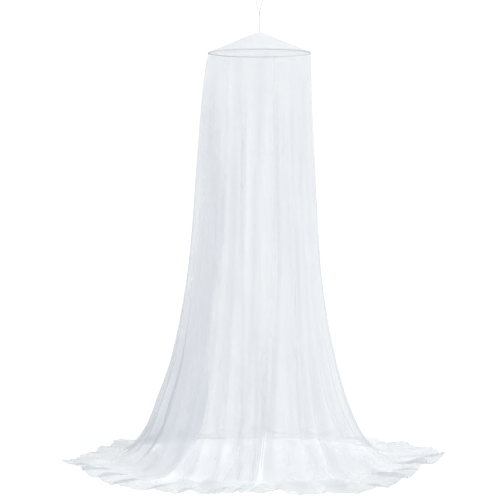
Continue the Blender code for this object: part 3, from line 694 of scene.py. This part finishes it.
def skirt_point(sizes, row, index, step, lap, strip):
    """World point in the middle of the skirt's cloth."""
    angle = cloth_angle(sizes, row, index, step)
    near, far = fold_pair(index)
    mid = between(near.mid, far.mid, step)
    foot = between(near.foot, far.foot, step)
    depth = max(mid * row.fold_mid, foot * row.fold_foot)
    radius = wall_reach(row, angle) - depth * valley(step)
    if row.out is None:
        radius, height = hanging_place(sizes, row, index, step, lap, angle, radius)
    else:
        radius, height = lying_place(sizes, row, index, step, angle, radius)
    angle += strip * sizes.lap_width / radius
    return place(angle, radius, height)


def skirt_columns(sizes):
    """Each column of the skirt: its fold's index, step to the next, lap and place in the edge strip."""
    last = len(FOLDS) - 1
    columns = [(0, 0.0, 1.0, -strip) for strip in EDGE_STRIPS]
    for index in range(len(FOLDS)):
        for step in np.linspace(0, 1, sizes.steps, endpoint=False):
            columns.append((index, step, 1.0 - step if index == 0 else 0.0, 0.0))
    columns.append((last, 1.0, 0.0, 0.0))
    columns.extend((last, 1.0, 0.0, strip) for strip in reversed(EDGE_STRIPS))
    return columns


def crease_cloth(rows, points):
    """Press the creases into the skirt's points, and return the layers gathered along them."""
    levels = np.array([row.height if row.out is None else -row.out for row in rows])
    angles = np.degrees(np.arctan2(points[..., 0], -points[..., 1]))
    reach = np.hypot(points[..., 0], points[..., 1])
    depth = np.zeros_like(reach)
    gathered = np.zeros_like(reach)
    for crease in CREASES:
        knots = [-level for _, level, _ in crease.route]
        wanted = np.clip(-levels, knots[0], knots[-1])
        middle = smooth_values(knots, [degrees for degrees, _, _ in crease.route], wanted)
        share = smooth_values(knots, [share for _, _, share in crease.route], wanted)
        off = (angles - middle[:, None] + 180) % 360 - 180
        off = np.radians(off) * reach * 1000
        profile = np.exp(-((off / np.where(off < 0, crease.left, crease.right)) ** 2)) * share[:, None]
        depth += crease.depth * MILLIMETRE * profile
        gathered += crease.layers * profile
    for row, line, pressed, out in zip(rows, points, depth, reach):
        if row.out is None:
            line[:, :2] *= (1 - on_wall(row.height, CREASED_WALL) * pressed / out)[:, None]
        else:
            line[:, 2] += ease(row.out, 0.0, 0.15) * np.maximum(0.0, pressed)
    return gathered


def net_layers(row, step, vert, creased):
    """Layers of netting that show at a vertex before its hems and seams, and its share of the back."""
    radial = Vector((vert.co.x, vert.co.y, 0.0)).normalized()
    if row.out is None:
        behind = ease(radial.y, *BACK_OF_WALL)
        lying = 1 - ease(row.height, 0.02, between(*FLARE_TOP, behind))
    else:
        farther = FARTHER_BACK * ease(row.out, 0.25, 0.6)
        behind = ease(radial.y, *(share + farther for share in BACK_OF_SPREAD))
        lying = 1.0
    level_normal = Vector((vert.normal.x, vert.normal.y, 0.0)).normalized()
    flank = min(MOST_FLANK, 1 / max(0.50, abs(level_normal.dot(radial))))
    side = math.degrees(math.acos(min(1.0, abs(radial.x))))
    hanging = flank * (1 - SIDE_THINNING * math.exp(-((side / SIDE_DEGREES) ** 2)))
    crowd = between(*CROWD, behind) + CROWD_IN_VALLEYS * valley(step)
    crowd += CROWD_SWING * noise.noise(vert.co * CROWD_SCALE)
    if row.out is not None:
        calm = between(1.0, 0.2, ease(radial.y, 0.0, 0.4))
        fine = FINE_SWING * noise.noise(vert.co * FINE_SCALE) * calm
        crowd += (fine + SPREAD_EXTRA * (1 - behind)) * ease(row.out, 0.2, 0.6)
    full = between(hanging, max(between(*LEAST_CROWD, behind), crowd), lying)
    return max(LEAST_LAYERS, full + creased * between(*CREASE_SHARE, behind)), behind


def make_skirt(sizes):
    """The hanging net and its spread on the floor, one sheet."""
    rows = skirt_rows(sizes)
    columns = skirt_columns(sizes)
    sheet = bmesh.new()
    bmesh.ops.create_grid(sheet, x_segments=len(columns) - 1, y_segments=len(rows) - 1, size=0.5)
    bmesh.ops.reverse_faces(sheet, faces=sheet.faces)
    points = np.array([[skirt_point(sizes, row, *column) for column in columns] for row in rows])
    gathered = crease_cloth(rows, points)
    widths = np.linalg.norm(np.diff(points, axis=1), axis=2)
    lengths = np.linalg.norm(np.diff(points, axis=0), axis=2)
    across = np.hstack([np.zeros((len(rows), 1)), np.cumsum(widths, axis=1)])
    across -= across[:, -1:] / 2
    down = np.concatenate([[0.0], np.cumsum(lengths.mean(axis=1))])
    for vert, point in zip(sheet.verts, points.reshape(-1, 3)):
        vert.co = point
    sheet.normal_update()
    layer = sheet.verts.layers.float.new("layers")
    for number, vert in enumerate(sheet.verts):
        r, c = divmod(number, len(columns))
        _, step, _, strip = columns[c]
        full, behind = net_layers(rows[r], step, vert, gathered[r, c])
        if strip:
            full *= STRIP_LAYERS
        if down[-1] - down[r] < sizes.hem_width:
            full *= between(*HEM_LAYERS, behind)
        if down[r] < sizes.seam_width:
            full *= SEAM_LAYERS
        edge = min(across[r, c] - across[r, 0], across[r, -1] - across[r, c])
        if edge < sizes.hem_width * EDGE_HEM_SHARE:
            full *= EDGE_LAYERS
        vert[layer] = full
    uv = sheet.loops.layers.uv.new("UVMap")
    for face in sheet.faces:
        for loop in face.loops:
            r, c = divmod(loop.vert.index, len(columns))
            loop[uv].uv = (across[r, c], -down[r])
    return finish_mesh(sheet, "net_wall_and_spread")


def finish_mesh(made, name):
    """A smooth-shaded object of a bmesh, in the scene."""
    mesh = bpy.data.meshes.new(name)
    made.to_mesh(mesh)
    made.free()
    mesh.shade_smooth()
    piece = bpy.data.objects.new(name, mesh)
    bpy.context.scene.collection.objects.link(piece)
    return piece


def crown_profile():
    """Radius and height of the crown's cloth from its apex down over the tape to its rim."""
    around = TAPE_OUTER + SEAM_GAP + CROWN_HALF_CLOTH
    top = APEX_HEIGHT - CROWN_HALF_CLOTH
    *points, start = [(out, top - down) for out, down in CROWN_TIP]
    tangent = math.pi / 2 - math.atan2(top - HOOP_HEIGHT - around, HOOP_RADIUS)
    end = (HOOP_RADIUS + around * math.cos(tangent), HOOP_HEIGHT + around * math.sin(tangent))
    for share in np.linspace(0, 1, CROWN_ROWS):
        points.append((between(start[0], end[0], share), between(start[1], end[1], share)))
    for share in CROWN_TURN:
        angle = share * tangent
        points.append((HOOP_RADIUS + around * math.cos(angle), HOOP_HEIGHT + around * math.sin(angle)))
    return points


def turned(profile, steps, closed=False):
    """A profile of radius and height pairs turned once round Z."""
    made = bmesh.new()
    verts = [made.verts.new((radius, 0.0, height_z(height))) for radius, height in profile]
    ends = verts[1:] + verts[:1] if closed else verts[1:]
    edges = [made.edges.new(pair) for pair in zip(verts, ends)]
    bmesh.ops.spin(
        made, geom=verts + edges, cent=(0, 0, 0), axis=(0, 0, 1), angle=2 * math.pi, steps=steps,
        use_merge=True,
    )
    bmesh.ops.remove_doubles(made, verts=made.verts, dist=0.00001)
    bmesh.ops.recalc_face_normals(made, faces=made.faces)
    return made


def nearest_turn(angle, middle):
    """The angle, whole turns added so that it lies next to another one."""
    return angle + 2 * math.pi * round((middle - angle) / (2 * math.pi))


def make_crown():
    """The cone of net over the hoop, with fine gathers that run out from its apex."""
    cone = turned(crown_profile(), CROWN_STEPS)
    if sum(face.normal.z for face in cone.faces) < 0:
        bmesh.ops.reverse_faces(cone, faces=cone.faces)
    layer = cone.verts.layers.float.new("layers")
    for vert in cone.verts:
        radius = math.hypot(vert.co.x, vert.co.y)
        angle = math.atan2(vert.co.x, -vert.co.y)
        inside = ease(radius, 0.012, 0.09) * (1 - ease(radius, 0.24, 0.296))
        around = Vector((math.sin(angle) * 9, math.cos(angle) * 9, radius * 2))
        gather = math.sin(CROWN_GATHERS * angle + 3.5 * noise.noise(around * 0.35))
        wave = CROWN_WAVE * noise.noise(around * 0.5)
        vert.co.z += inside * (GATHER_HEIGHT * gather + wave - CROWN_SAG)
        at_tip = math.exp(-radius / 0.03)
        vert[layer] = CROWN_LAYERS - TIP_THINNING * at_tip + LEFT_EXTRA * max(0.0, -vert.co.x)
    uv = cone.loops.layers.uv.new("UVMap")
    for face in cone.faces:
        middle = face.calc_center_median()
        centre = math.atan2(middle.x, -middle.y)
        for loop in face.loops:
            radius = math.hypot(loop.vert.co.x, loop.vert.co.y)
            angle = math.atan2(loop.vert.co.x, -loop.vert.co.y) if radius > 1e-5 else centre
            loop[uv].uv = (nearest_turn(angle, centre) * CROWN_UV_RADIUS, radius)
    return finish_mesh(cone, "net_crown_cone")


def ring_angles(spot):
    """Angles of a spot round the axis, from the front, and round the hoop's own middle line."""
    out = math.hypot(spot.x, spot.y) - HOOP_RADIUS
    return math.atan2(spot.x, -spot.y), math.atan2(spot.z - height_z(HOOP_HEIGHT), out)


def add_ring_uv(made):
    """A UV map in metres: round the axis, and round the hoop's own middle line."""
    uv = made.loops.layers.uv.new("UVMap")
    for face in made.faces:
        round_axis, round_hoop = ring_angles(face.calc_center_median())
        for loop in face.loops:
            angle, turn = ring_angles(loop.vert.co)
            angle, turn = nearest_turn(angle, round_axis), nearest_turn(turn, round_hoop)
            loop[uv].uv = (angle * HOOP_RADIUS, turn * TAPE_OUTER)


def make_tape():
    """The tape folded round the rod, slightly puckered, its mouth towards the axis."""
    mouth = math.pi - math.radians(TAPE_MOUTH_DEGREES)
    points = []
    for distance, begin in ((TAPE_OUTER, mouth), (TAPE_INNER, -mouth)):
        for side in range(TAPE_SIDES + 1):
            angle = between(begin, -begin, side / TAPE_SIDES)
            spot = (HOOP_RADIUS + distance * math.cos(angle), HOOP_HEIGHT + distance * math.sin(angle))
            points.append(spot)
    made = turned(points, TAPE_STEPS, closed=True)
    for vert in made.verts:
        angle, turn = ring_angles(vert.co)
        shift = TAPE_PUCKER * soft_noise(math.sin(angle) * 30, math.cos(angle) * 30, turn * 0.8)
        vert.co.x += shift * math.sin(angle) * math.cos(turn)
        vert.co.y -= shift * math.cos(angle) * math.cos(turn)
        vert.co.z += shift * math.sin(turn)
    add_ring_uv(made)
    return finish_mesh(made, "hoop_tape_band")


def make_stitches(sizes):
    """The row of stitches that holds the gathered net to the tape, just under the hoop."""
    made = bmesh.new()
    radius = SEAM_RADIUS + STITCH_OUT
    count = round(2 * math.pi * radius / sizes.stitch_pitch)
    shape = Matrix.Diagonal((sizes.stitch_length / 2, STITCH_HALF_THICK, STITCH_HALF_TALL, 1.0))
    for number in range(count):
        angle = 2 * math.pi * number / count
        tilt = STITCH_TILT * soft_noise(number * 0.7, 2.0, 5.0)
        spot = place(angle, radius + sizes.half_cloth, STITCH_HEIGHT + 0.0004 * tilt)
        turn = Matrix.Translation(spot) @ Matrix.Rotation(angle, 4, "Z") @ Matrix.Rotation(tilt, 4, "Y")
        bmesh.ops.create_uvsphere(made, u_segments=8, v_segments=5, radius=1.0, matrix=turn @ shape)
    return finish_mesh(made, "tape_stitches")


def smooth_route(points, spacing):
    """Points at an even spacing along a smooth curve through the given ones."""
    knots = [Vector(point) for point in points]
    knots = [2 * knots[0] - knots[1], *knots, 2 * knots[-1] - knots[-2]]
    fine = []
    for before, start, end, after in zip(knots, knots[1:], knots[2:], knots[3:]):
        slope = end - before
        bend = 2 * before - 5 * start + 4 * end - after
        twist = 3 * start - before - 3 * end + after
        for t in np.linspace(0, 1, 20, endpoint=False):
            fine.append(0.5 * (2 * start + slope * t + bend * t**2 + twist * t**3))
    fine.append(knots[-2])
    runs = np.concatenate([[0.0], np.cumsum([(b - a).length for a, b in zip(fine, fine[1:])])])
    wanted = np.linspace(0, runs[-1], max(2, round(runs[-1] / spacing) + 1))
    axes = [np.interp(wanted, runs, [point[axis] for point in fine]) for axis in range(3)]
    return [Vector(point) for point in zip(*axes)]


def make_twist(name, route, diameter, lay):
    """A twisted cord along a route: rings of as many lobes as strands, turned once every lay."""
    made = bmesh.new()
    sides = STRANDS * STRAND_POINTS
    rings = []
    run = 0.0
    across = Vector((0, 1, 0))
    for number, point in enumerate(route):
        ahead = route[min(number + 1, len(route) - 1)] - route[max(number - 1, 0)]
        ahead.normalize()
        across = (across - ahead * across.dot(ahead)).normalized()
        if number:
            run += (point - route[number - 1]).length
        axes = Matrix((across, ahead.cross(across), ahead)).transposed().to_4x4()
        turn = Matrix.Rotation(2 * math.pi * run / lay, 4, "Z")
        circle = bmesh.ops.create_circle(made, cap_ends=False, segments=sides, radius=diameter / 2)
        for side, vert in enumerate(circle["verts"]):
            lobe = abs(math.cos(math.pi * STRANDS * side / sides))
            vert.co *= 1 - GROOVE + GROOVE * math.sqrt(lobe)
            vert.co = Matrix.Translation(point) @ axes @ turn @ vert.co
        rings.append((circle["verts"], run))
    uv = made.loops.layers.uv.new("UVMap")
    for (low, start), (high, end) in zip(rings, rings[1:]):
        for side in range(sides):
            beside = (side + 1) % sides
            face = made.faces.new((low[side], low[beside], high[beside], high[side]))
            corners = ((side, start), (side + 1, start), (side + 1, end), (side, end))
            for loop, (round_it, along) in zip(face.loops, corners):
                loop[uv].uv = (round_it / STRAND_POINTS, along)
    for verts, _ in (rings[0], rings[-1]):
        made.faces.new(verts)
    bmesh.ops.recalc_face_normals(made, faces=made.faces)
    return finish_mesh(made, name)


def make_cord(sizes):
    """The straight twisted cord from the crown's apex to the whipping, with its route."""
    low = (0.0, 0.0, height_z(APEX_HEIGHT + SEAT_GAP))
    high = (0.0, 0.0, height_z(KNOT_BOTTOM_HEIGHT - SEAT_GAP))
    route = smooth_route((low, high), CORD_SPACING)
    return make_twist("hanging_cord_twist", route, sizes.cord_diameter, CORD_LAY), route


def make_loop(sizes):
    """The loop that goes over the ceiling hook, with its route."""
    route = smooth_route([(x, 0.0, height_z(height)) for x, height in LOOP_ROUTE], LOOP_SPACING)
    return make_twist("hanging_loop_twist", route, sizes.cord_diameter, CORD_LAY), route


def make_whipping(sizes):
    """The cord's end wound round its doubled strands in close turns."""
    radius = (sizes.whipping_diameter - WHIPPING_THREAD) / 2
    low = KNOT_BOTTOM_HEIGHT + WHIPPING_THREAD / 2
    high = KNOT_TOP_HEIGHT - WHIPPING_THREAD / 2
    count = WHIPPING_TURNS * WHIPPING_POINTS
    route = []
    for number in range(count + 1):
        share = number / count
        angle = 2 * math.pi * WHIPPING_TURNS * share
        tuck = 1 - WHIPPING_TUCK * (1 - ease(share, 0.0, 0.04)) - WHIPPING_TUCK * ease(share, 0.96, 1.0)
        x, y = radius * tuck * math.cos(angle), radius * tuck * math.sin(angle)
        route.append(Vector((x, y, height_z(between(low, high, share)))))
    return make_twist("cord_whipping_turns", route, WHIPPING_THREAD, WHIPPING_LAY)


# ---------------------------------------------------------------- materials


def new_material(name):
    """A material with an empty tree and its output."""
    material = bpy.data.materials.new(name)
    material.use_nodes = True
    tree = material.node_tree
    tree.nodes.clear()
    output = tree.nodes.new("ShaderNodeOutputMaterial")
    return material, tree, output


def put(tree, socket, value):
    """Give an input a number or colour, or link another node's output to it."""
    if isinstance(value, bpy.types.NodeSocket):
        tree.links.new(value, socket)
    else:
        socket.default_value = value


def node(tree, kind, **inputs):
    """A node of that kind with its inputs set by name, an underscore for each space."""
    made = tree.nodes.new(kind)
    for name, value in inputs.items():
        put(tree, made.inputs[name.replace("_", " ")], value)
    return made


def maths(tree, operation, *values):
    """The output of a Math node."""
    made = tree.nodes.new("ShaderNodeMath")
    made.operation = operation
    for socket, value in zip(made.inputs, (*values, 0.0, 0.0)):
        put(tree, socket, value)
    return made.outputs[0]


def scaled(tree, value, low, high, to_low, to_high):
    """A value mapped softly from one range to another."""
    made = node(
        tree, "ShaderNodeMapRange", Value=value,
        From_Min=low, From_Max=high, To_Min=to_low, To_Max=to_high,
    )
    made.interpolation_type = "SMOOTHSTEP"
    return made.outputs[0]


def mixed(tree, share, first, second):
    """A colour between two colours."""
    made = tree.nodes.new("ShaderNodeMix")
    made.data_type = "RGBA"
    for number, value in ((0, share), (6, first), (7, second)):
        put(tree, made.inputs[number], value)
    return made.outputs[2]


def blended(tree, share, first, second):
    """The output of a shader between two shaders."""
    made = tree.nodes.new("ShaderNodeMixShader")
    for socket, value in zip(made.inputs, (share, first.outputs[0], second.outputs[0])):
        put(tree, socket, value)
    return made


def paint(colour, share=1.0):
    """A colour with its alpha, or a darker share of it."""
    return (*(share * part for part in colour), 1.0)


def own_uv(tree):
    """The piece's own UV map, in metres."""
    made = tree.nodes.new("ShaderNodeUVMap")
    made.uv_map = "UVMap"
    return made.outputs[0]


def own_place(tree):
    """Places on the piece, in metres."""
    return tree.nodes.new("ShaderNodeTexCoord").outputs["Object"]


def noise_value(tree, coordinates, scale, detail=3.0):
    """A soft noise between 0 and 1."""
    made = node(tree, "ShaderNodeTexNoise", Vector=coordinates, Scale=scale, Detail=detail)
    return made.outputs["Fac"]


def thread_mask(tree, uv, degrees, pitch, width):
    """1 on the threads that lie across a direction of the UV map, 0 between them."""
    turn = math.radians(degrees)
    dot = tree.nodes.new("ShaderNodeVectorMath")
    dot.operation = "DOT_PRODUCT"
    tree.links.new(uv, dot.inputs[0])
    dot.inputs[1].default_value = (math.cos(turn) / pitch, math.sin(turn) / pitch, 0.0)
    off = maths(tree, "PINGPONG", dot.outputs["Value"], 0.5)
    half = width / pitch / 2
    return scaled(tree, off, half * 0.6, half * 1.5, 1.0, 0.0)


def net_material(sizes, colours):
    """Sheer netting: white threads round small holes, denser where the cloth is gathered."""
    material, tree, output = new_material("sheer_netting")
    uv, spot = own_uv(tree), own_place(tree)
    threads, *others = (
        thread_mask(tree, uv, turn, sizes.net_pitch, sizes.net_thread) for turn in THREAD_DEGREES
    )
    for other in others:
        threads = maths(tree, "MAXIMUM", threads, other)
    layers = tree.nodes.new("ShaderNodeAttribute")
    layers.attribute_name = "layers"
    gathered = layers.outputs["Fac"]
    # what one layer lets through, to the power of the layers
    closed = scaled(tree, threads, 0.0, 1.0, *NET_CLOSED)
    uneven = scaled(tree, noise_value(tree, spot, 5.0), 0.25, 0.75, 0.88, 1.12)
    opened = maths(tree, "SUBTRACT", 1.0, closed)
    shown = maths(tree, "POWER", opened, maths(tree, "MULTIPLY", gathered, uneven))
    solid = maths(tree, "SUBTRACT", 1.0, shown)
    # painted shade: darker where the netting is gathered in folds; darker in faint random clouds; and, near
    # the floor, a painted lighting tint, greyer and less blue
    fold_shade = scaled(tree, gathered, 1.0, 3.2, 0.0, 1.0)
    colour = mixed(tree, fold_shade, paint(colours.net), paint(colours.net_clouds_and_fold_shade))
    cloudy = scaled(tree, noise_value(tree, spot, 2.2, 4.0), 0.3, 0.7, 0.0, 0.12)
    colour = mixed(tree, cloudy, colour, paint(colours.net_clouds_and_fold_shade))
    up = node(tree, "ShaderNodeSeparateXYZ", Vector=spot).outputs["Z"]
    lying = scaled(tree, up, height_z(0.0), height_z(PAINTED_TINT_HEIGHT), 1.0, 0.0)
    colour = mixed(tree, lying, colour, paint(colours.net_floor_lighting_tint))
    bump = node(tree, "ShaderNodeBump", Height=threads, Strength=0.35, Distance=0.0002).outputs[0]
    cloth = node(
        tree, "ShaderNodeBsdfPrincipled", Base_Color=colour, Normal=bump,
        Roughness=scaled(tree, threads, 0.0, 1.0, 0.86, 0.68),
        Specular_IOR_Level=0.2, Sheen_Weight=0.1,
    )
    glow = node(tree, "ShaderNodeBsdfTranslucent", Color=colour, Normal=bump)
    clear = tree.nodes.new("ShaderNodeBsdfTransparent")
    seen = blended(tree, solid, clear, blended(tree, NET_GLOW, cloth, glow))
    tree.links.new(seen.outputs[0], output.inputs["Surface"])
    return material


def tape_material(colours):
    """White woven tape, its ribs across its length."""
    material, tree, output = new_material("woven_tape")
    uv = own_uv(tree)
    ribs = thread_mask(tree, uv, 0, TAPE_RIB_PITCH, TAPE_RIB_WIDTH)
    warp = thread_mask(tree, uv, 90, TAPE_WARP_PITCH, TAPE_WARP_WIDTH)
    weave = maths(tree, "ADD", maths(tree, "MULTIPLY", ribs, 0.6), maths(tree, "MULTIPLY", warp, 0.4))
    worn = scaled(tree, noise_value(tree, own_place(tree), 14.0, 4.0), 0.3, 0.7, 0.0, 0.5)
    light, dark = paint(colours.tape), paint(colours.tape, 0.93)
    # painted shade in the gaps of the weave: darker between the ribs and the warp threads
    colour = mixed(tree, maths(tree, "MULTIPLY", weave, 0.6), dark, light)
    colour = mixed(tree, maths(tree, "MULTIPLY", worn, 0.35), colour, dark)
    bump = node(tree, "ShaderNodeBump", Height=weave, Strength=0.6, Distance=0.0003)
    cloth = node(
        tree, "ShaderNodeBsdfPrincipled", Base_Color=colour, Normal=bump.outputs[0],
        Roughness=scaled(tree, weave, 0.0, 1.0, 0.92, 0.74),
        Specular_IOR_Level=0.3, Sheen_Weight=0.8,
    )
    tree.links.new(cloth.outputs[0], output.inputs["Surface"])
    return material


def rod_material(colours):
    """White plastic rod with faint draw lines."""
    material, tree, output = new_material("plastic_rod")
    spot = own_place(tree)
    lines = noise_value(tree, spot, 60.0, 2.0)
    soft = noise_value(tree, spot, 900.0, 2.0)
    duller = scaled(tree, lines, 0.3, 0.7, 0.0, 0.4)
    bump = node(tree, "ShaderNodeBump", Height=soft, Strength=0.2, Distance=0.0001)
    plastic = node(
        tree, "ShaderNodeBsdfPrincipled", Normal=bump.outputs[0],
        Base_Color=mixed(tree, duller, paint(colours.rod), paint(colours.rod, 0.9)),
        Roughness=scaled(tree, lines, 0.3, 0.7, 0.36, 0.52),
    )
    tree.links.new(plastic.outputs[0], output.inputs["Surface"])
    return material


def cord_material(name, cord_colour):
    """Twisted white cord: fine fibres along each strand, and a painted shade line meant for the grooves
    between the strands, though its mask lies along each strand's crest.
    """
    material, tree, output = new_material(name)
    uv = own_uv(tree)
    # painted shade: a darker line meant for the grooves between the strands; its mask lies along each
    # strand's crest
    painted_strand_shade = thread_mask(tree, uv, 0, 1.0, 0.34)
    stretch = node(tree, "ShaderNodeMapping", Vector=uv, Scale=(9.0, 500.0, 1.0))
    fibres = noise_value(tree, stretch.outputs[0], 1.0)
    light, dark = paint(cord_colour), paint(cord_colour, 0.92)
    colour = mixed(tree, maths(tree, "MULTIPLY", painted_strand_shade, 0.35), light, dark)
    colour = mixed(tree, scaled(tree, fibres, 0.3, 0.7, 0.0, 0.35), colour, dark)
    bump = node(tree, "ShaderNodeBump", Height=fibres, Strength=0.5, Distance=0.0002)
    cord = node(
        tree, "ShaderNodeBsdfPrincipled", Base_Color=colour, Normal=bump.outputs[0],
        Roughness=scaled(tree, fibres, 0.3, 0.7, 0.70, 0.90),
    )
    tree.links.new(cord.outputs[0], output.inputs["Surface"])
    return material


def stitch_material(colours):
    """White sewing thread."""
    material, tree, output = new_material("sewing_thread")
    twist = noise_value(tree, own_place(tree), 2600.0, 2.0)
    darker = scaled(tree, twist, 0.3, 0.7, 0.0, 0.6)
    bump = node(tree, "ShaderNodeBump", Height=twist, Strength=0.5, Distance=0.0001)
    thread = node(
        tree, "ShaderNodeBsdfPrincipled", Roughness=0.6, Normal=bump.outputs[0],
        Base_Color=mixed(tree, darker, paint(colours.thread), paint(colours.thread, 0.8)),
    )
    tree.links.new(thread.outputs[0], output.inputs["Surface"])
    return material


def floor_material(colours):
    """Plain matt floor, with the faintest unevenness."""
    material, tree, output = new_material("plain_floor")
    soft = noise_value(tree, own_place(tree), 0.7, 2.0)
    floor = node(
        tree, "ShaderNodeBsdfPrincipled", Base_Color=paint(colours.floor),
        Roughness=scaled(tree, soft, 0.3, 0.7, 0.94, 1.0), Specular_IOR_Level=0.0,
        Emission_Color=(1.0, 1.0, 1.0, 1.0), Emission_Strength=FLOOR_GLOW,
    )
    tree.links.new(floor.outputs[0], output.inputs["Surface"])
    return material


def finished_material(name, make, *inputs):
    """The named material, made the first time that it is asked for."""
    return bpy.data.materials.get(name) or make(*inputs)


# ---------------------------------------------------------------- operators


def need_node(name):
    """Raise an error unless the frame holds that node."""
    if bpy.data.objects.get(name) is None:
        raise RuntimeError(f"the frame holds no node {name}")


def dress(piece, material, *replaced):
    """Give a piece its material, let it ride on the body and stand for the nodes it replaces."""
    piece.data.materials.append(material)
    for name in replaced:
        need_node(name)
    if replaced:
        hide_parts(*replaced)
    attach(piece, "root")


class NET_OT_cord(bpy.types.Operator):
    """Make the hanging cord, its whipping and its loop"""

    bl_idname = "net.make_cord"
    bl_label = "Cord, whipping and loop"

    def execute(self, context):
        sizes, colours = context.scene.net_sizes, context.scene.net_colours
        material = finished_material("twisted_cord", cord_material, "twisted_cord", colours.cord)
        cord, route = make_cord(sizes)
        dress(cord, material, "hanging_cord")
        whipping = make_whipping(sizes)
        wound = finished_material("wound_cord", cord_material, "wound_cord", colours.thread)
        dress(whipping, wound, "cord_whipping")
        loop, loop_route = make_loop(sizes)
        dress(loop, material, "hanging_loop")
        return {"FINISHED"}


class NET_OT_skirt(bpy.types.Operator):
    """Make the hanging net and its spread on the floor"""

    bl_idname = "net.make_skirt"
    bl_label = "Hanging net"

    def execute(self, context):
        sizes, colours = context.scene.net_sizes, context.scene.net_colours
        skirt = make_skirt(sizes)
        dress(skirt, finished_material("sheer_netting", net_material, sizes, colours), "net_skirt")
        return {"FINISHED"}


class NET_OT_crown(bpy.types.Operator):
    """Make the cone of net over the hoop"""

    bl_idname = "net.make_crown"
    bl_label = "Crown"

    def execute(self, context):
        sizes, colours = context.scene.net_sizes, context.scene.net_colours
        crown = make_crown()
        dress(crown, finished_material("sheer_netting", net_material, sizes, colours), "net_crown")
        return {"FINISHED"}


class NET_OT_hoop(bpy.types.Operator):
    """Make the tape with its stitches, and finish the rod"""

    bl_idname = "net.make_hoop"
    bl_label = "Hoop, tape and stitches"

    def execute(self, context):
        sizes, colours = context.scene.net_sizes, context.scene.net_colours
        tape = make_tape()
        dress(tape, tape_material(colours), "hoop_tape")
        stitches = make_stitches(sizes)
        dress(stitches, stitch_material(colours))
        need_node("hoop")
        rod = bpy.data.objects["hoop"]
        for slot in rod.material_slots:
            slot.material = finished_material("plastic_rod", rod_material, colours)
        return {"FINISHED"}


class NET_OT_stage(bpy.types.Operator):
    """Make the floor, the studio light and the camera"""

    bl_idname = "net.make_stage"
    bl_label = "Stage"

    def execute(self, context):
        scene = context.scene
        ground = bmesh.new()
        bmesh.ops.create_circle(ground, cap_ends=True, segments=96, radius=FLOOR_RADIUS)
        bmesh.ops.translate(ground, verts=ground.verts, vec=(0, 0, height_z(-FLOOR_DROP)))
        bmesh.ops.recalc_face_normals(ground, faces=ground.faces)
        for face in ground.faces:
            if face.normal.z < 0:
                face.normal_flip()
        floor = finish_mesh(ground, "floor")
        floor.data.materials.append(floor_material(scene.net_colours))
        make_light()
        make_camera()
        scene.view_settings.view_transform = "Standard"
        scene.view_settings.look = "None"
        scene.cycles.transparent_max_bounces = 64
        scene.cycles.max_bounces = 16
        scene.cycles.diffuse_bounces = 6
        return {"FINISHED"}


def direction(azimuth, elevation):
    """A unit vector at degrees from the front, positive towards +X, and degrees up."""
    across, up = math.radians(azimuth), math.radians(elevation)
    return Vector((math.sin(across) * math.cos(up), -math.cos(across) * math.cos(up), math.sin(up)))


def make_light():
    """A pale even surround, and two wide soft suns, the stronger from the right."""
    world = bpy.data.worlds.new("surround")
    bpy.context.scene.world = world
    world.use_nodes = True
    tree = world.node_tree
    tree.nodes.clear()
    output = tree.nodes.new("ShaderNodeOutputWorld")
    lit = node(tree, "ShaderNodeBackground", Color=paint(SURROUND_COLOUR), Strength=SURROUND_STRENGTH)
    seen = node(tree, "ShaderNodeBackground", Color=(1.0, 1.0, 1.0, 1.0), Strength=SEEN_STRENGTH)
    to_camera = tree.nodes.new("ShaderNodeLightPath").outputs["Is Camera Ray"]
    tree.links.new(blended(tree, to_camera, lit, seen).outputs[0], output.inputs["Surface"])
    for name, azimuth, elevation, strength, spread in SUNS:
        light = bpy.data.lights.new(name, "SUN")
        light.energy = strength
        light.angle = math.radians(spread)
        lamp = bpy.data.objects.new(name, light)
        towards = direction(azimuth, elevation)
        lamp.rotation_euler = towards.to_track_quat("Z", "Y").to_euler()
        lamp.location = towards * 6
        bpy.context.scene.collection.objects.link(lamp)


def make_camera():
    """The photograph's view: far off, a little above, looking slightly down."""
    data = bpy.data.cameras.new("camera")
    data.sensor_width = 36.0
    data.lens = CAMERA_LENS
    data.clip_end = 500.0
    camera = bpy.data.objects.new("camera", data)
    camera.location = (CAMERA_SIDE, -CAMERA_DISTANCE, height_z(CAMERA_HEIGHT))
    camera.rotation_euler = (math.radians(90 - CAMERA_DOWN_DEGREES), 0.0, 0.0)
    bpy.context.scene.collection.objects.link(camera)
    bpy.context.scene.camera = camera


class NET_PT_pieces(bpy.types.Panel):
    """Lists the operators in the 3D view's sidebar"""

    bl_label = "Mosquito net canopy"
    bl_idname = "NET_PT_pieces"
    bl_space_type = "VIEW_3D"
    bl_region_type = "UI"
    bl_category = "Net"

    def draw(self, context):
        for kind in OPERATORS:
            self.layout.operator(kind.bl_idname)


OPERATORS = (NET_OT_cord, NET_OT_skirt, NET_OT_crown, NET_OT_hoop, NET_OT_stage)
CLASSES = (NetSizes, NetColours, *OPERATORS, NET_PT_pieces)


def register():
    """Add the classes and the scene's properties."""
    for kind in CLASSES:
        bpy.utils.register_class(kind)
    bpy.types.Scene.net_sizes = PointerProperty(type=NetSizes)
    bpy.types.Scene.net_colours = PointerProperty(type=NetColours)


def unregister():
    """Take them out again."""
    del bpy.types.Scene.net_colours
    del bpy.types.Scene.net_sizes
    for kind in reversed(CLASSES):
        bpy.utils.unregister_class(kind)


def main():
    """Make every piece in order."""
    register()
    bpy.ops.net.make_cord()
    bpy.ops.net.make_skirt()
    bpy.ops.net.make_crown()
    bpy.ops.net.make_hoop()
    bpy.ops.net.make_stage()


if __name__ == "__main__":
    main()
